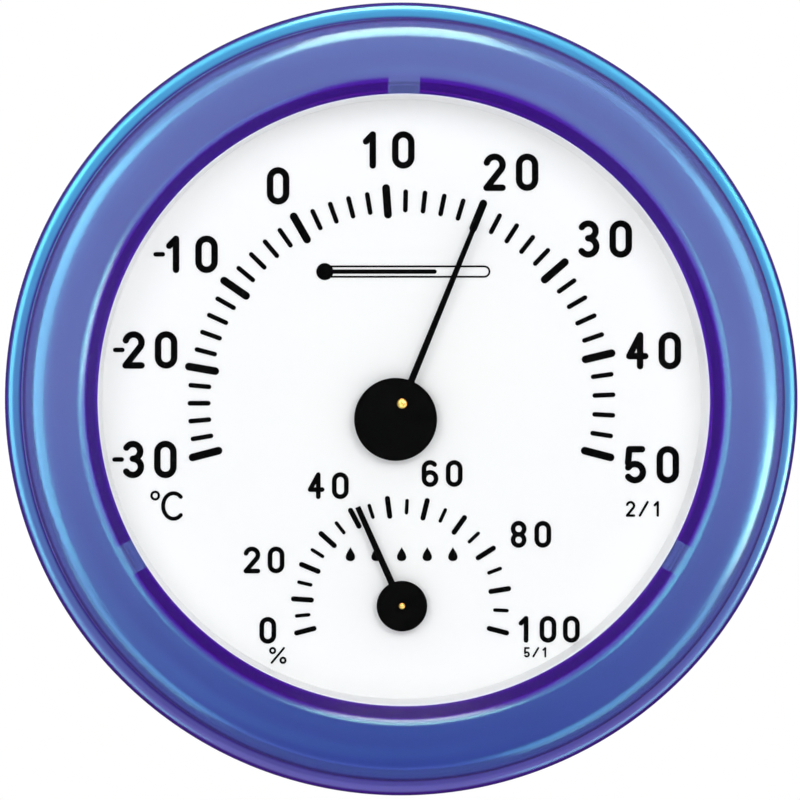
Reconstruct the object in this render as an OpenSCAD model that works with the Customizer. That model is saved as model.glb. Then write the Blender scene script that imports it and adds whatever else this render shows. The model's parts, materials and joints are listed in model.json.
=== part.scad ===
// Round wall thermo-hygrometer: a bimetal thermometer and a humidity coil behind one dial.
// Drawn with the dial in the XY plane and Z counted forward from the wall, then stood up.

/* [Case] */
// Outer diameter over the rounded flange of the case ring
case_d = 130; // [120:1:160]
// Depth from the wall to the top of the bezel
case_depth = 30; // [27:0.5:40]
// Width of the tinted front ring, from the flange's edge to the window
bezel_width = 14.9; // [14:0.1:18]
// How far the flange stands out beyond the bezel
flange_step = 2.6; // [2:0.1:4]
// Thickness of the rounded flange
flange_t = 3; // [2:0.1:4]
// Wall of the bezel's outer side
bezel_wall = 2.2; // [1.6:0.1:3]
// Thickness of the bezel under its crown
crown_wall = 2; // [1.4:0.1:2.6]
// Height of the crown above the lens
crown_rise = 4.5; // [4:0.1:6]
// Radius of the crown's cross section
crown_r = 14; // [12:0.5:18]
// Radius of the back edge of the case ring
back_edge_r = 4; // [2:0.1:5]
// Thickness of the back cover
cover_t = 2; // [1.6:0.1:3]

/* [Window] */
// Thickness of the lens
lens_t = 1.5; // [1:0.1:3]
// Depth of the skirt's inner face behind the edge of the window
skirt_set = 1.2; // [0.8:0.1:2]
// Thickness of the skirt that hangs from the bezel round the lens
skirt_t = 1.2; // [0.8:0.1:2]
// Width of the three notches in the skirt
notch_w = 5.4; // [4:0.1:8]
// Wall of the white surround at its front edge
surround_t = 1.1; // [0.8:0.1:2]
// Growth of that wall towards the dial
surround_taper = 0.8; // [0:0.1:0.9]

/* [Dial] */
// Thickness of the dial plate
dial_t = 0.8; // [0.5:0.1:1.5]
// Thickness of the carrier behind the dial
carrier_t = 2; // [2:0.1:3]
// Wall of the carrier's collar, which rises round the bezel's skirt
collar_t = 1.6; // [1.2:0.1:2.4]
// Thickness of the collar's brim, the white backing of the tinted bezel
brim_t = 1.2; // [0.8:0.1:2]
// Radius of the posts that take the cover screws
post_r = 3.5; // [3:0.1:5]
// Distance of each post from the dial's two centre lines
post_place = 31.8; // [28:0.1:34]
// Thickness of the printed marks
print_t = 0.1; // [0.1:0.05:0.2]

/* [Thermometer] */
// Height of the thermometer's axis above the centre of the case
temp_axis_y = -0.7; // [-3:0.1:5]
// Radius of the middle of the thermometer's scale
temp_scale_r = 33.2; // [28:0.1:34]
// Temperature shown
shown_temp = 20; // [-30:1:50]
// Outer radius of the bimetal coil
temp_coil_r = 10.4; // [8:0.1:12.5]
// Turns of the bimetal coil
temp_coil_turns = 6; // [3:1:6]
// Height of the pointer above the dial
temp_pointer_rise = 2.2; // [1.8:0.1:2.6]
// Radius of the pointer's counterweight
temp_weight_r = 6.8; // [4:0.1:8]
// Distance of the counterweight's centre behind the axis
temp_weight_back = 2.8; // [0:0.1:4]

/* [Hygrometer] */
// Height of the hygrometer's axis above the centre of the case
hum_axis_y = -33.9; // [-35:0.1:-31]
// Radius of the middle of the hygrometer's scale
hum_scale_r = 16.3; // [13:0.1:16.5]
// Relative humidity shown
shown_humidity = 42; // [0:1:100]
// Outer radius of the humidity coil
hum_coil_r = 8.6; // [7:0.1:10]
// Turns of the humidity coil
hum_coil_turns = 5; // [3:1:5]
// Height of the pointer above the dial
hum_pointer_rise = 1.6; // [1.2:0.1:2]
// Radius of the pointer's round hub
hum_weight_r = 4.15; // [3:0.05:6]

/* [Movements] */
// Radius of the arbors
arbor_r = 0.8; // [0.6:0.05:1]
// Radius of their rear pivots
pivot_r = 0.6; // [0.4:0.05:0.7]
// Width of the coils' strip
coil_w = 3; // [2:0.1:4]
// Thickness of the coils' strip
strip_t = 0.35; // [0.25:0.05:0.5]
// Thickness of the yokes' sheet
sheet_t = 1; // [0.8:0.1:1.5]
// Width of the yokes
yoke_w = 8; // [7:0.5:10]
// Radius of the rear bushes, on which the regulators turn
boss_r = 2.5; // [2:0.1:3]
// Thickness of the regulators
regulator_t = 0.8; // [0.5:0.1:1.2]
// Thickness of the friction washers
washer_t = 0.4; // [0.3:0.1:0.6]
// Radius of the adjusting studs
stud_r = 1.6; // [1.2:0.1:2]
// Travel of the adjusting studs to each side, in degrees
regulator_turn = 12; // [6:1:14]

/* [Hanger] */
// Height of the keyhole's round end above the centre of the case
hang_y = 33; // [31:0.5:34]
// Radius of the keyhole's round end
keyhole_r = 4; // [3.5:0.1:4.5]
// Width of the keyhole's slot
keyhole_slot = 4; // [3:0.1:5]
// Length of the slot above the round end's centre
keyhole_rise = 8; // [6.5:0.5:8]
// Thickness of the hanger plate
hanger_t = 1; // [0.8:0.1:1.2]

/* [Hidden] */
$fn = 96;

// Clearances: a fixed seat, a turning fit, and two mouldings that slide together
seat = 0.02;
running = 0.04;
slip = 0.2;
// How far a cut runs past a face, and how far joined shapes reach into each other
cut = 1;
weld = 0.1;

tinted = [0.38, 0.46, 0.72, 0.6];
white = [0.97, 0.97, 0.95];
ink = [0.05, 0.05, 0.05];
brass = [0.78, 0.6, 0.28];
steel = [0.7, 0.7, 0.72];

// Radii from the flange inwards
side_step = 4.5;
back_rim = 2.5;
rim_r = case_d / 2;
bezel_r = rim_r - flange_step;
bezel_in_r = bezel_r - bezel_wall;
window_r = rim_r - bezel_width;
skirt_in_r = window_r + skirt_set;
skirt_out_r = skirt_in_r + skirt_t;
lens_r = skirt_in_r - 1.5 * slip;
dial_r = lens_r - slip / 2;
spigot_t = 1.8;
spigot_r = bezel_in_r - slip;
spigot_in_r = spigot_r - spigot_t;
collar_in_r = skirt_out_r + 3 * slip;
collar_out_r = collar_in_r + collar_t;
ledge_w = 2.7;
ledge_t = 1.5;
seat_t = 1.5;
side_r = rim_r - side_step;
cover_r = side_r - back_edge_r - back_rim;
recess_r = cover_r + slip;
ledge_r = recess_r - ledge_w;

// Parts of one movement, counted backwards from the carrier
bush_flange_t = 0.8;
end_play = 0.3;
collet_nose = 0.7;
coil_lift = 0.6;
stack = bush_flange_t + end_play + collet_nose + coil_w + coil_lift + regulator_t + washer_t;
cover_gap = 0.6;
movement_depth = stack + sheet_t + bush_flange_t + cover_gap;

// Levels from the wall forward
joint_rise = 1;
skirt_gap = 1.2;
carrier_z = cover_t + movement_depth;
dial_back_z = carrier_z + carrier_t;
dial_z = dial_back_z + dial_t;
joint_z = dial_back_z + joint_rise;
lens_front_z = case_depth - crown_rise;
lens_z = lens_front_z - lens_t;
skirt_z = dial_z + skirt_gap;
web_front_z = carrier_z - stack;
web_z = web_front_z - sheet_t;
regulator_z = web_front_z + washer_t;
coil_z = regulator_z + regulator_t + coil_lift;
coil_front_z = coil_z + coil_w;
boss_top_z = coil_z - slip;
foot_z = carrier_z - sheet_t;

// Snap joint between the bezel and the case ring
spigot_h = 5;
brim_z = joint_z + spigot_h + seat;
bead_h = 1.5;
bead_rise = 3;
bead_out = 0.6;
bead_arc = 24;
bead_root = 0.4;
chamfer = 0.3;
groove_slack = 0.2;

// Crown of the bezel: one arc between an outer and an inner shoulder
outer_shoulder_r = 4;
inner_shoulder_r = 3;
lip_h = 1.4;
lip_edge = 0.2;
crown_mid_r = (bezel_r + window_r) / 2;
crown_mid_z = case_depth - crown_r;
outer_x = bezel_r - outer_shoulder_r - crown_mid_r;
outer_y = sqrt(pow(crown_r - outer_shoulder_r, 2) - outer_x * outer_x);
slope_gap = window_r - lens_front_z - lip_h + inner_shoulder_r * sqrt(2) + crown_mid_z - crown_mid_r;
inner_x = (slope_gap + sqrt(2 * pow(crown_r - inner_shoulder_r, 2) - slope_gap * slope_gap)) / 2;
inner_y = inner_x - slope_gap;
cavity_r = crown_r - crown_wall;

// Screws
cover_screw_r = 1.35;
cover_screw_head_r = 2.6;
cover_screw_head_h = 1;
cover_screw_depth = 7;
counterbore = cover_screw_head_h + slip;
yoke_screw_r = 0.95;
yoke_screw_head_r = 1.7;
yoke_screw_head_h = 0.9;
yoke_screw_depth = 1.5;
driver_slot = 0.6;

// Yokes, regulators and their pins
leg_gap = 3.4;
foot_l = 5;
pin_r = 0.5;
pin_place = 0.75;
stud_place = 4.1;
stud_rivet_r = 1.1;
regulator_hub_r = 4.6;
regulator_arm_w = 3.4;
regulator_eye = 0.6;
rivet_up = 0.3;
stud_back_z = 0.6;
stud_slot_h = 0.8;
collet_r = 2.2;
bush_r = 2;
bush_flange_r = 3.2;
boss_flange = 0.9;
dial_hole_r = 2.4;

// Pointers
pointer_t = 0.5;
pointer_sleeve = 0.8;
sleeve_wall = 0.9;
arbor_proud = 0.4;
temp_tip_r = temp_scale_r - 0.4;
hum_tip_r = hum_scale_r + 1.5;
hum_arbor_tip_r = 0.5;

// Openings of the back cover
vent_w = 2.2;
vent_pitch = 4;
slot_slack = 0.6;
recess_x = 11;
pad_rim = 1.5;
pad_t = 1.5;
pocket_x = 5.2;
pocket_down = keyhole_r + 1.5;
pocket_up = keyhole_rise + keyhole_r + 0.5;
pocket_depth = 3.8;
pocket_wall = 1.2;
recess_down = pocket_down + 2;
recess_up = pocket_up + pocket_wall;
recess_l = recess_up + recess_down;
recess_mid = hang_y + (recess_up - recess_down) / 2;
rivet_x = 8.6;
rivet_r = 1.1;
rivet_head_r = 1.8;
rivet_head_h = 0.6;
rivet_tail_h = 0.4;

// Scales: the angle of a mark, clockwise from the top, for what it reads
function temp_angle(t) = -30 + 2.56 * t + 0.0026 * t * t;
function hum_angle(h) = -104.4 + 1.786 * h + 0.003023 * h * h;
temp_marks = [-30:2:50];
temp_major = 10;
hum_marks = [0:5:100];
hum_major = 10;
// Numbers: what is read, the angle of the number, and its place outside the scale
temp_numbers = [
  [-30, -102.5, 9.2], [-20, -78, 9], [-10, -54.8, 9.2], [0, -29.6, 7.8], [10, -3.3, 8.4],
  [20, 25.3, 8.7], [30, 51, 9.6], [40, 78.2, 9], [50, 103.8, 9]
];
hum_numbers = [
  [0, -100.3, 6], [20, -71.5, 7.5], [40, -31.4, 6.8], [60, 17, 6.4], [80, 61, 7.9], [100, 99.1, 8]
];
// Figures: width, height and stroke of each size
temp_figure = [3.7, 6.15, 1.07];
hum_figure = [2.75, 4.4, 0.77];
note_figure = [1.55, 2.6, 0.4];
small_figure = [1.05, 1.7, 0.3];
figure_pitch = 1.55;
cap_steps = 6;

// Points along an arc, both ends included
function arc(c, r, from, to, steps = 16) =
  [for (i = [0:steps]) let (a = from + (to - from) * i / steps) c + r * [cos(a), sin(a)]];
function oval(rx, ry, from, to, steps = 32) =
  [for (i = [0:steps]) let (a = from + (to - from) * i / steps) [rx * cos(a), ry * sin(a)]];
function along(p, i) =
  let (v = p[min(i + 1, len(p) - 1)] - p[max(i - 1, 0)]) v / norm(v);
function beside(p, h) = [for (i = [0:len(p) - 1]) let (d = along(p, i)) p[i] + h * [-d[1], d[0]]];
function turned_round(p) = [for (i = [len(p) - 1:-1:0]) p[i]];
function heading(d) = atan2(d[1], d[0]);
// Outline of a line of even width with round ends
function line_outline(p, w) =
  let (a = heading(along(p, 0)), b = heading(along(p, len(p) - 1)))
  concat(
    beside(p, w / 2),
    [for (i = [1:cap_steps - 1]) p[len(p) - 1] + w / 2 * [cos(b + 90 - 180 * i / cap_steps),
                                                         sin(b + 90 - 180 * i / cap_steps)]],
    turned_round(beside(p, -w / 2)),
    [for (i = [1:cap_steps - 1]) p[0] + w / 2 * [cos(a - 90 - 180 * i / cap_steps),
                                                sin(a - 90 - 180 * i / cap_steps)]]
  );
// Stadium of half width a and half height b
function stadium(a, b, steps = 12) =
  concat(arc([0, b - a], a, 0, 180, steps), arc([0, a - b], a, 180, 360, steps));
function ring_paths(n, m) = [[for (i = [0:n - 1]) i], [for (i = [n:n + m - 1]) i]];
function spiral(from, to, turns, steps) =
  [for (i = [0:steps]) let (a = -90 - 360 * turns * (1 - i / steps), r = from + (to - from) * i / steps)
    r * [cos(a), sin(a)]];

// Stands the dial up: its face looks along -Y and its top along +Z
module stood_up() {
  rotate([90, 0, 0]) children();
}

module at(y) {
  stood_up() translate([0, y, 0]) children();
}

module disc(r, z, h) {
  translate([0, 0, z]) cylinder(r = r, h = h);
}

module bore(r, z, h) {
  translate([0, 0, z - cut]) cylinder(r = r, h = h + 2 * cut);
}

module block(x, y, z, from) {
  translate(from) cube([x, y, z]);
}

// Points of the reading clockwise from the top
module at_reading(angle, r = 0) {
  rotate([0, 0, -angle]) translate([0, r, 0]) children();
}

module mirrored_x() {
  children();
  mirror([1, 0, 0]) children();
}

module four_posts() {
  for (x = [-1, 1], y = [-1, 1]) translate([x * post_place, y * post_place, 0]) children();
}

module bezel() {
  outer_c = [crown_mid_r + outer_x, crown_mid_z + outer_y];
  inner_c = [crown_mid_r + inner_x, crown_mid_z + inner_y];
  crown_c = [crown_mid_r, crown_mid_z];
  outer_a = atan2(outer_y, outer_x);
  inner_a = atan2(inner_y, inner_x);
  cavity_out_a = acos((bezel_in_r - crown_mid_r) / cavity_r);
  cavity_in_a = acos((skirt_out_r - crown_mid_r) / cavity_r);
  groove_z = joint_z + bead_rise - groove_slack;
  groove_top_z = joint_z + bead_rise + bead_h + groove_slack;
  groove_r = spigot_r + bead_out + 2 * slip;
  color(tinted) stood_up() difference() {
    rotate_extrude() polygon(concat(
      [[bezel_r, joint_z]],
      arc(outer_c, outer_shoulder_r, 0, outer_a, 8),
      arc(crown_c, crown_r, outer_a, inner_a, 10),
      arc(inner_c, inner_shoulder_r, inner_a, 135, 6),
      [
        [window_r + lip_edge, lens_front_z + lip_h + lip_edge],
        [window_r, lens_front_z + lip_h - lip_edge],
        [window_r, lens_front_z],
        [skirt_in_r, lens_front_z],
        [skirt_in_r, skirt_z],
        [skirt_out_r, skirt_z]
      ],
      arc(crown_c, cavity_r, cavity_in_a, cavity_out_a, 12),
      [
        [bezel_in_r, groove_top_z],
        [groove_r, groove_top_z],
        [groove_r, groove_z],
        [bezel_in_r, groove_z],
        [bezel_in_r, joint_z]
      ]
    ));
    for (a = [90, 210, 330])
      rotate([0, 0, a])
        block(skirt_t + 2 * cut, notch_w, lens_front_z - skirt_z + cut,
              [skirt_in_r - cut, -notch_w / 2, skirt_z - cut]);
  }
}

module lens() {
  lug_w = notch_w - 3 * slip;
  color([0.9, 0.95, 1, 0.3]) stood_up() union() {
    disc(lens_r, lens_z, lens_t);
    for (a = [90, 210, 330])
      rotate([0, 0, a])
        block(skirt_out_r - slip - lens_r + cut, lug_w, lens_t, [lens_r - cut, -lug_w / 2, lens_z]);
  }
}

module dial_surround() {
  color(white) stood_up() rotate_extrude() polygon([
    [lens_r - surround_t - surround_taper, dial_z],
    [lens_r, dial_z],
    [lens_r, lens_z],
    [lens_r - surround_t, lens_z]
  ]);
}

module dial_plate() {
  color(white) stood_up() difference() {
    disc(dial_r, dial_back_z, dial_t);
    for (y = [temp_axis_y, hum_axis_y]) translate([0, y, 0]) bore(dial_hole_r, dial_back_z, dial_t);
  }
}

module inked() {
  color(ink) stood_up() translate([0, 0, dial_z]) children();
}

module line(p, w) {
  linear_extrude(height = print_t) polygon(line_outline(p, w));
}

module ring(a, b, w) {
  outer = stadium(a + w / 2, b + w / 2);
  inner = stadium(a - w / 2, b - w / 2);
  linear_extrude(height = print_t)
    polygon(concat(outer, inner), ring_paths(len(outer), len(inner)));
}

module mark(l, w) {
  line([[0, w / 2 - l / 2], [0, l / 2 - w / 2]], w);
}

// One figure of half width a and half height b, measured on the middle of a stroke w wide
module figure(c, a, b, w) {
  top_r = 0.92 * a;
  low_r = b - top_r;
  if (c == "0") ring(a, b, w);
  if (c == "1") {
    line([[0.25 * a, b], [0.25 * a, -b]], w);
    line([[0.25 * a, b], [-0.6 * a, 0.55 * b]], w);
  }
  if (c == "2") {
    line(concat(arc([0, b - a], a, 165, -30, 14), [[-a, -b]]), w);
    line([[-a, -b], [a, -b]], w);
  }
  if (c == "3") {
    line(arc([0, b - top_r], top_r, 150, -90, 14), w);
    line(arc([0, low_r - b], low_r, 90, -145, 14), w);
  }
  if (c == "4") {
    line([[0.35 * a, b], [-a, -0.35 * b]], w);
    line([[-a, -0.35 * b], [a, -0.35 * b]], w);
    line([[0.35 * a, b], [0.35 * a, -b]], w);
  }
  if (c == "5") {
    line([[0.85 * a, b], [-0.75 * a, b]], w);
    line([[-0.75 * a, b], [-0.9 * a, 0.1 * b]], w);
    line(arc([-0.05 * a, low_r - b], low_r, 145, -145, 16), w);
  }
  if (c == "6") {
    translate([0, a - b]) ring(a, a * 1.02, w);
    line(concat(arc([0, b - a], a, 40, 180, 10), [[-a, a - b]]), w);
  }
  if (c == "8") {
    translate([0, b - top_r]) ring(top_r, top_r * 1.02, w);
    translate([0, low_r - b]) ring(min(low_r, a), low_r * 1.02, w);
  }
  if (c == "-") line([[-0.45 * a, 0], [0.45 * a, 0]], 0.7 * w);
  if (c == "/") line([[-1.1 * a, -b], [1.1 * a, b]], w);
}

module figures(s, size) {
  w = size[2];
  a = (size[0] - w) / 2;
  b = (size[1] - w) / 2;
  first = s[0] == "-" ? 1 : 0;
  count = len(s) - first;
  pitch = size[0] * figure_pitch * (count > 2 ? 0.9 : 0.93);
  for (i = [0:count - 1])
    translate([(i - (count - 1) / 2) * pitch, 0]) figure(s[i + first], a, b, w);
  if (first == 1) translate([-(count + 0.2) / 2 * size[0] * 1.25, 0]) figure("-", a, b, w);
}

module celsius_sign() {
  translate([-2.2, 1.7]) ring(0.6, 0.62, 0.4);
  translate([0.8, 0]) line(oval(1.7, 2.1, 45, 315, 24), 0.65);
}

module percent_sign() {
  for (s = [-1, 1]) translate([-0.85 * s, 0.8 * s]) ring(0.4, 0.42, 0.35);
  line([[-1, -1.2], [1, 1.2]], 0.35);
}

// A lying thermometer, where the dial's upper caption would be
module thermometer_sign() {
  translate([-13, 0]) linear_extrude(height = print_t) circle(r = 1.4);
  line([[-13, 0], [5, 0]], 0.7);
  translate([0.6, 0]) rotate([0, 0, 90]) ring(0.85, 13.4, 0.3);
}

// A row of drops, where the dial's lower caption would be
module drops_sign() {
  r = 1.15;
  for (i = [-2:2])
    translate([i * 4.2, 0]) linear_extrude(height = print_t) polygon(
      [for (t = [0:15:345]) [0.95 * r * sin(t) * pow(sin(t / 2), 1.5), r * cos(t)]]
    );
}

module temperature_scale() {
  inked() {
    translate([0, temp_axis_y]) {
      for (t = temp_marks)
        at_reading(temp_angle(t), temp_scale_r)
          if (t % temp_major == 0) mark(5.65, 1.28);
          else mark(3.77, 0.77);
      for (n = temp_numbers)
        at_reading(n[1], temp_scale_r + n[2]) rotate([0, 0, n[1]]) figures(str(n[0]), temp_figure);
    }
    translate([0.4, 20.9]) thermometer_sign();
    translate([-38.2, -17.5]) celsius_sign();
    translate([39.7, -18]) figures("2/1", note_figure);
  }
}

module humidity_scale() {
  inked() {
    translate([0, hum_axis_y]) {
      for (h = hum_marks)
        at_reading(hum_angle(h), hum_scale_r)
          if (h % hum_major == 0) mark(3.77, 0.84);
          else mark(2.57, 0.59);
      for (n = hum_numbers)
        at_reading(n[1], hum_scale_r + n[2]) rotate([0, 0, n[1]]) figures(str(n[0]), hum_figure);
    }
    translate([0, -25.4]) drops_sign();
    translate([-20.3, -42]) percent_sign();
    translate([22, -41.5]) figures("5/1", small_figure);
  }
}

module dial_carrier() {
  color(white) stood_up() difference() {
    union() {
      disc(collar_out_r, carrier_z, carrier_t);
      rotate_extrude() polygon([
        [collar_in_r, dial_back_z - weld],
        [collar_out_r, dial_back_z - weld],
        [collar_out_r, brim_z],
        [spigot_r, brim_z],
        [spigot_r, brim_z + brim_t],
        [collar_in_r, brim_z + brim_t]
      ]);
      four_posts() disc(post_r, cover_t, carrier_z - cover_t + weld);
    }
    four_posts() translate([0, 0, cover_t - cut])
      cylinder(r = cover_screw_r + seat, h = cover_screw_depth + cut + 2 * slip);
    for (y = [temp_axis_y, hum_axis_y]) translate([0, y, 0]) bore(bush_r + seat, carrier_z, carrier_t);
    yoke_holes(temp_axis_y, temp_coil_r) yoke_pilot();
    yoke_holes(hum_axis_y, hum_coil_r) yoke_pilot();
  }
}

module yoke_pilot() {
  translate([0, 0, carrier_z - cut]) cylinder(r = yoke_screw_r + seat, h = yoke_screw_depth + cut + slip / 2);
}

module yoke_holes(y, coil_r) {
  for (s = [-1, 1]) translate([s * (coil_r + leg_gap + sheet_t + foot_l / 2), y, 0]) children();
}

module case_ring() {
  flange_c = [rim_r - flange_t / 2, joint_z - flange_t / 2];
  bead_z = joint_z + bead_rise;
  color(tinted) stood_up() union() {
    rotate_extrude() polygon(concat(
      [[recess_r, 0]],
      arc([side_r - back_edge_r, back_edge_r], back_edge_r, -90, 0, 8),
      [[rim_r - flange_t / 2 - chamfer, joint_z - flange_t - chamfer]],
      arc(flange_c, flange_t / 2, -90, 90, 12),
      [
        [spigot_r, joint_z],
        [spigot_r, joint_z + spigot_h - chamfer],
        [spigot_r - chamfer, joint_z + spigot_h],
        [spigot_in_r, joint_z + spigot_h],
        [spigot_in_r, carrier_z],
        [skirt_out_r, carrier_z],
        [skirt_out_r, carrier_z - seat_t],
        [bezel_in_r, carrier_z - seat_t],
        [side_r - bezel_wall, cover_t + ledge_t],
        [ledge_r, cover_t + ledge_t],
        [ledge_r, cover_t],
        [recess_r, cover_t]
      ]
    ));
    for (a = [30, 150, 270])
      rotate([0, 0, a - bead_arc / 2]) rotate_extrude(angle = bead_arc) polygon([
        [spigot_r - bead_root, bead_z],
        [spigot_r + bead_out, bead_z + chamfer],
        [spigot_r + bead_out, bead_z + bead_h - 2 * chamfer],
        [spigot_r - bead_root, bead_z + bead_h]
      ]);
  }
}

// Rounded oblong of full size x by y, standing on z
module oblong(x, y, r, z, h) {
  translate([0, 0, z]) linear_extrude(height = h) polygon(concat(
    arc([x / 2 - r, y / 2 - r], r, 0, 90, 6),
    arc([r - x / 2, y / 2 - r], r, 90, 180, 6),
    arc([r - x / 2, r - y / 2], r, 180, 270, 6),
    arc([x / 2 - r, r - y / 2], r, 270, 360, 6)
  ));
}

module vent(l) {
  oblong(vent_w, l, (vent_w - seat) / 2, -cut, cover_t + 2 * cut);
}

// Curved slot through which an adjusting stud is turned
module stud_slot(coil_r) {
  r = coil_r + stud_place;
  path = arc([0, 0], r, -90 - regulator_turn - 1, -90 + regulator_turn + 1, 16);
  translate([0, 0, -cut]) linear_extrude(height = cover_t + 2 * cut)
    polygon(line_outline(path, 2 * (stud_r + slot_slack)));
}

module vents_and_slot(y, coil_r, l) {
  translate([0, y, 0]) {
    stud_slot(coil_r);
    for (i = [1, 2], s = [-1, 1]) translate([s * (i + 0.4) * vent_pitch, 1.5, 0]) vent(l);
  }
}

module back_cover() {
  pocket_mid = hang_y + (pocket_up - pocket_down) / 2;
  pocket_l = pocket_up + pocket_down;
  color(tinted) stood_up() difference() {
    union() {
      disc(cover_r, 0, cover_t);
      translate([0, recess_mid, 0])
        oblong(2 * (recess_x + pad_rim), recess_l + 2 * pad_rim, 3, cover_t - weld, pad_t + weld);
      translate([0, pocket_mid, 0])
        oblong(2 * (pocket_x + pocket_wall), pocket_l + 2 * pocket_wall, 2, cover_t + pad_t - weld,
               pocket_depth - pad_t + pocket_wall + weld);
    }
    translate([0, recess_mid, 0]) oblong(2 * recess_x, recess_l, 2, -cut, cover_t + cut);
    translate([0, pocket_mid, 0]) oblong(2 * pocket_x, pocket_l, 1.2, cover_t - weld, pocket_depth + weld);
    for (s = [-1, 1]) translate([s * rivet_x, hang_y, 0]) bore(rivet_r + seat, cover_t, pad_t);
    four_posts() {
      bore(cover_screw_r + slip, 0, cover_t);
      translate([0, 0, -cut]) cylinder(r = cover_screw_head_r + slip, h = counterbore + cut);
    }
    vents_and_slot(temp_axis_y, temp_coil_r, 13);
    vents_and_slot(hum_axis_y, hum_coil_r, 10);
  }
}

// A screw with a slotted head: its head's back face is at z
module screw(head_r, head_h, r, l, z) {
  difference() {
    union() {
      disc(head_r, z, head_h);
      disc(r, z + head_h - weld, l + weld);
    }
    block(2 * (head_r + cut), driver_slot, head_h / 2 + cut, [-head_r - cut, -driver_slot / 2, z - cut]);
  }
}

module cover_screws() {
  color(steel) stood_up() four_posts() screw(
    cover_screw_head_r, cover_screw_head_h, cover_screw_r, cover_screw_depth + cover_t - counterbore, slip);
}

module hanger_plate() {
  z = cover_t - hanger_t;
  color(steel) stood_up() difference() {
    translate([0, recess_mid, 0])
      oblong(2 * (recess_x - slip), recess_l - 2 * slip, 1.8, z, hanger_t);
    translate([0, hang_y, 0]) {
      bore(keyhole_r, z, hanger_t);
      translate([0, keyhole_rise / 2, 0])
        oblong(keyhole_slot, keyhole_rise + keyhole_slot, keyhole_slot / 2 - seat / 2, z - cut,
               hanger_t + 2 * cut);
      for (s = [-1, 1]) translate([s * rivet_x, 0, 0]) bore(rivet_r + seat, z, hanger_t);
    }
  }
}

module hanger_rivets() {
  z = cover_t - hanger_t;
  color(brass) stood_up() for (s = [-1, 1]) translate([s * rivet_x, hang_y, 0]) {
    disc(rivet_head_r, z - rivet_head_h, rivet_head_h);
    disc(rivet_r, z - weld, hanger_t + pad_t + weld + rivet_tail_h);
    disc(rivet_head_r, cover_t + pad_t, rivet_tail_h);
  }
}

// A bent sheet with two feet on the carrier
module yoke(coil_r) {
  leg_x = coil_r + leg_gap;
  foot_x = leg_x + sheet_t + foot_l / 2;
  difference() {
    union() {
      block(2 * (leg_x + sheet_t), yoke_w, sheet_t, [-leg_x - sheet_t, -yoke_w / 2, web_z]);
      mirrored_x() {
        block(sheet_t, yoke_w, carrier_z - web_z, [leg_x, -yoke_w / 2, web_z]);
        block(foot_l + sheet_t, yoke_w, sheet_t, [leg_x, -yoke_w / 2, foot_z]);
      }
    }
    bore(boss_r + seat, web_z, sheet_t);
    for (s = [-1, 1]) translate([s * foot_x, 0, 0]) bore(yoke_screw_r + slip / 2, foot_z, sheet_t);
  }
}

module yoke_screws(y, coil_r) {
  stood_up() yoke_holes(y, coil_r) screw(
    yoke_screw_head_r, yoke_screw_head_h, yoke_screw_r, sheet_t + yoke_screw_depth,
    foot_z - yoke_screw_head_h);
}

module front_bush() {
  difference() {
    union() {
      disc(bush_flange_r, carrier_z - bush_flange_t, bush_flange_t);
      disc(bush_r, carrier_z - weld, carrier_t + dial_t / 2 + weld);
    }
    bore(arbor_r + running, carrier_z - bush_flange_t, bush_flange_t + carrier_t + dial_t);
  }
}

module rear_bush() {
  difference() {
    union() {
      disc(boss_r + boss_flange, web_z - bush_flange_t, bush_flange_t);
      disc(boss_r, web_z - weld, boss_top_z - web_z + weld);
    }
    bore(pivot_r + running, web_z - bush_flange_t, boss_top_z - web_z + bush_flange_t);
  }
}

module friction_washer() {
  difference() {
    disc(regulator_hub_r - 0.4, web_front_z, washer_t);
    bore(boss_r + running, web_front_z, washer_t);
  }
}

module regulator(coil_r) {
  stud_y = coil_r + stud_place;
  difference() {
    union() {
      disc(regulator_hub_r, regulator_z, regulator_t);
      block(regulator_arm_w, stud_y, regulator_t, [-regulator_arm_w / 2, -stud_y, regulator_z]);
      translate([0, -stud_y, 0]) disc(regulator_arm_w / 2 + regulator_eye, regulator_z, regulator_t);
    }
    bore(boss_r + 1.5 * running, regulator_z, regulator_t);
    translate([0, -stud_y, 0]) bore(stud_rivet_r + seat, regulator_z, regulator_t);
    translate([0, -coil_r - pin_place, 0]) bore(pin_r + seat, regulator_z, regulator_t);
  }
}

module adjuster(coil_r) {
  translate([0, -coil_r - stud_place, 0]) difference() {
    union() {
      disc(stud_r, stud_back_z, regulator_z - stud_back_z);
      disc(stud_rivet_r, regulator_z - weld, regulator_t + weld + rivet_up);
    }
    block(2 * (stud_r + cut), driver_slot, stud_slot_h + cut,
          [-stud_r - cut, -driver_slot / 2, stud_back_z - cut]);
  }
}

module anchor_pin(coil_r) {
  translate([0, -coil_r - pin_place, 0]) disc(pin_r, regulator_z, coil_front_z + slip - regulator_z);
}

// A flat spiral strip: inner end on the collet, outer end beside the anchor pin
module coil(coil_r, turns) {
  path = spiral(collet_r + strip_t / 2 + seat, coil_r, turns, 30 * turns);
  translate([0, 0, coil_z]) linear_extrude(height = coil_w)
    polygon(concat(beside(path, strip_t / 2), turned_round(beside(path, -strip_t / 2))));
}

module collet() {
  difference() {
    disc(collet_r, coil_z, coil_w + collet_nose);
    bore(arbor_r + seat, coil_z, coil_w + collet_nose);
  }
}

// A stepped shaft: rear pivot, body, and a front end that carries the pointer
module arbor(pointer_rise, tip_r) {
  pointer_z = dial_z + pointer_rise;
  tip_z = pointer_z - pointer_sleeve;
  pivot_z = web_z - bush_flange_t + slip;
  disc(pivot_r, pivot_z, coil_z - pivot_z + weld);
  disc(arbor_r, coil_z, tip_z - coil_z);
  disc(tip_r, tip_z - weld, pointer_sleeve + pointer_t + arbor_proud + weld);
}

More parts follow.
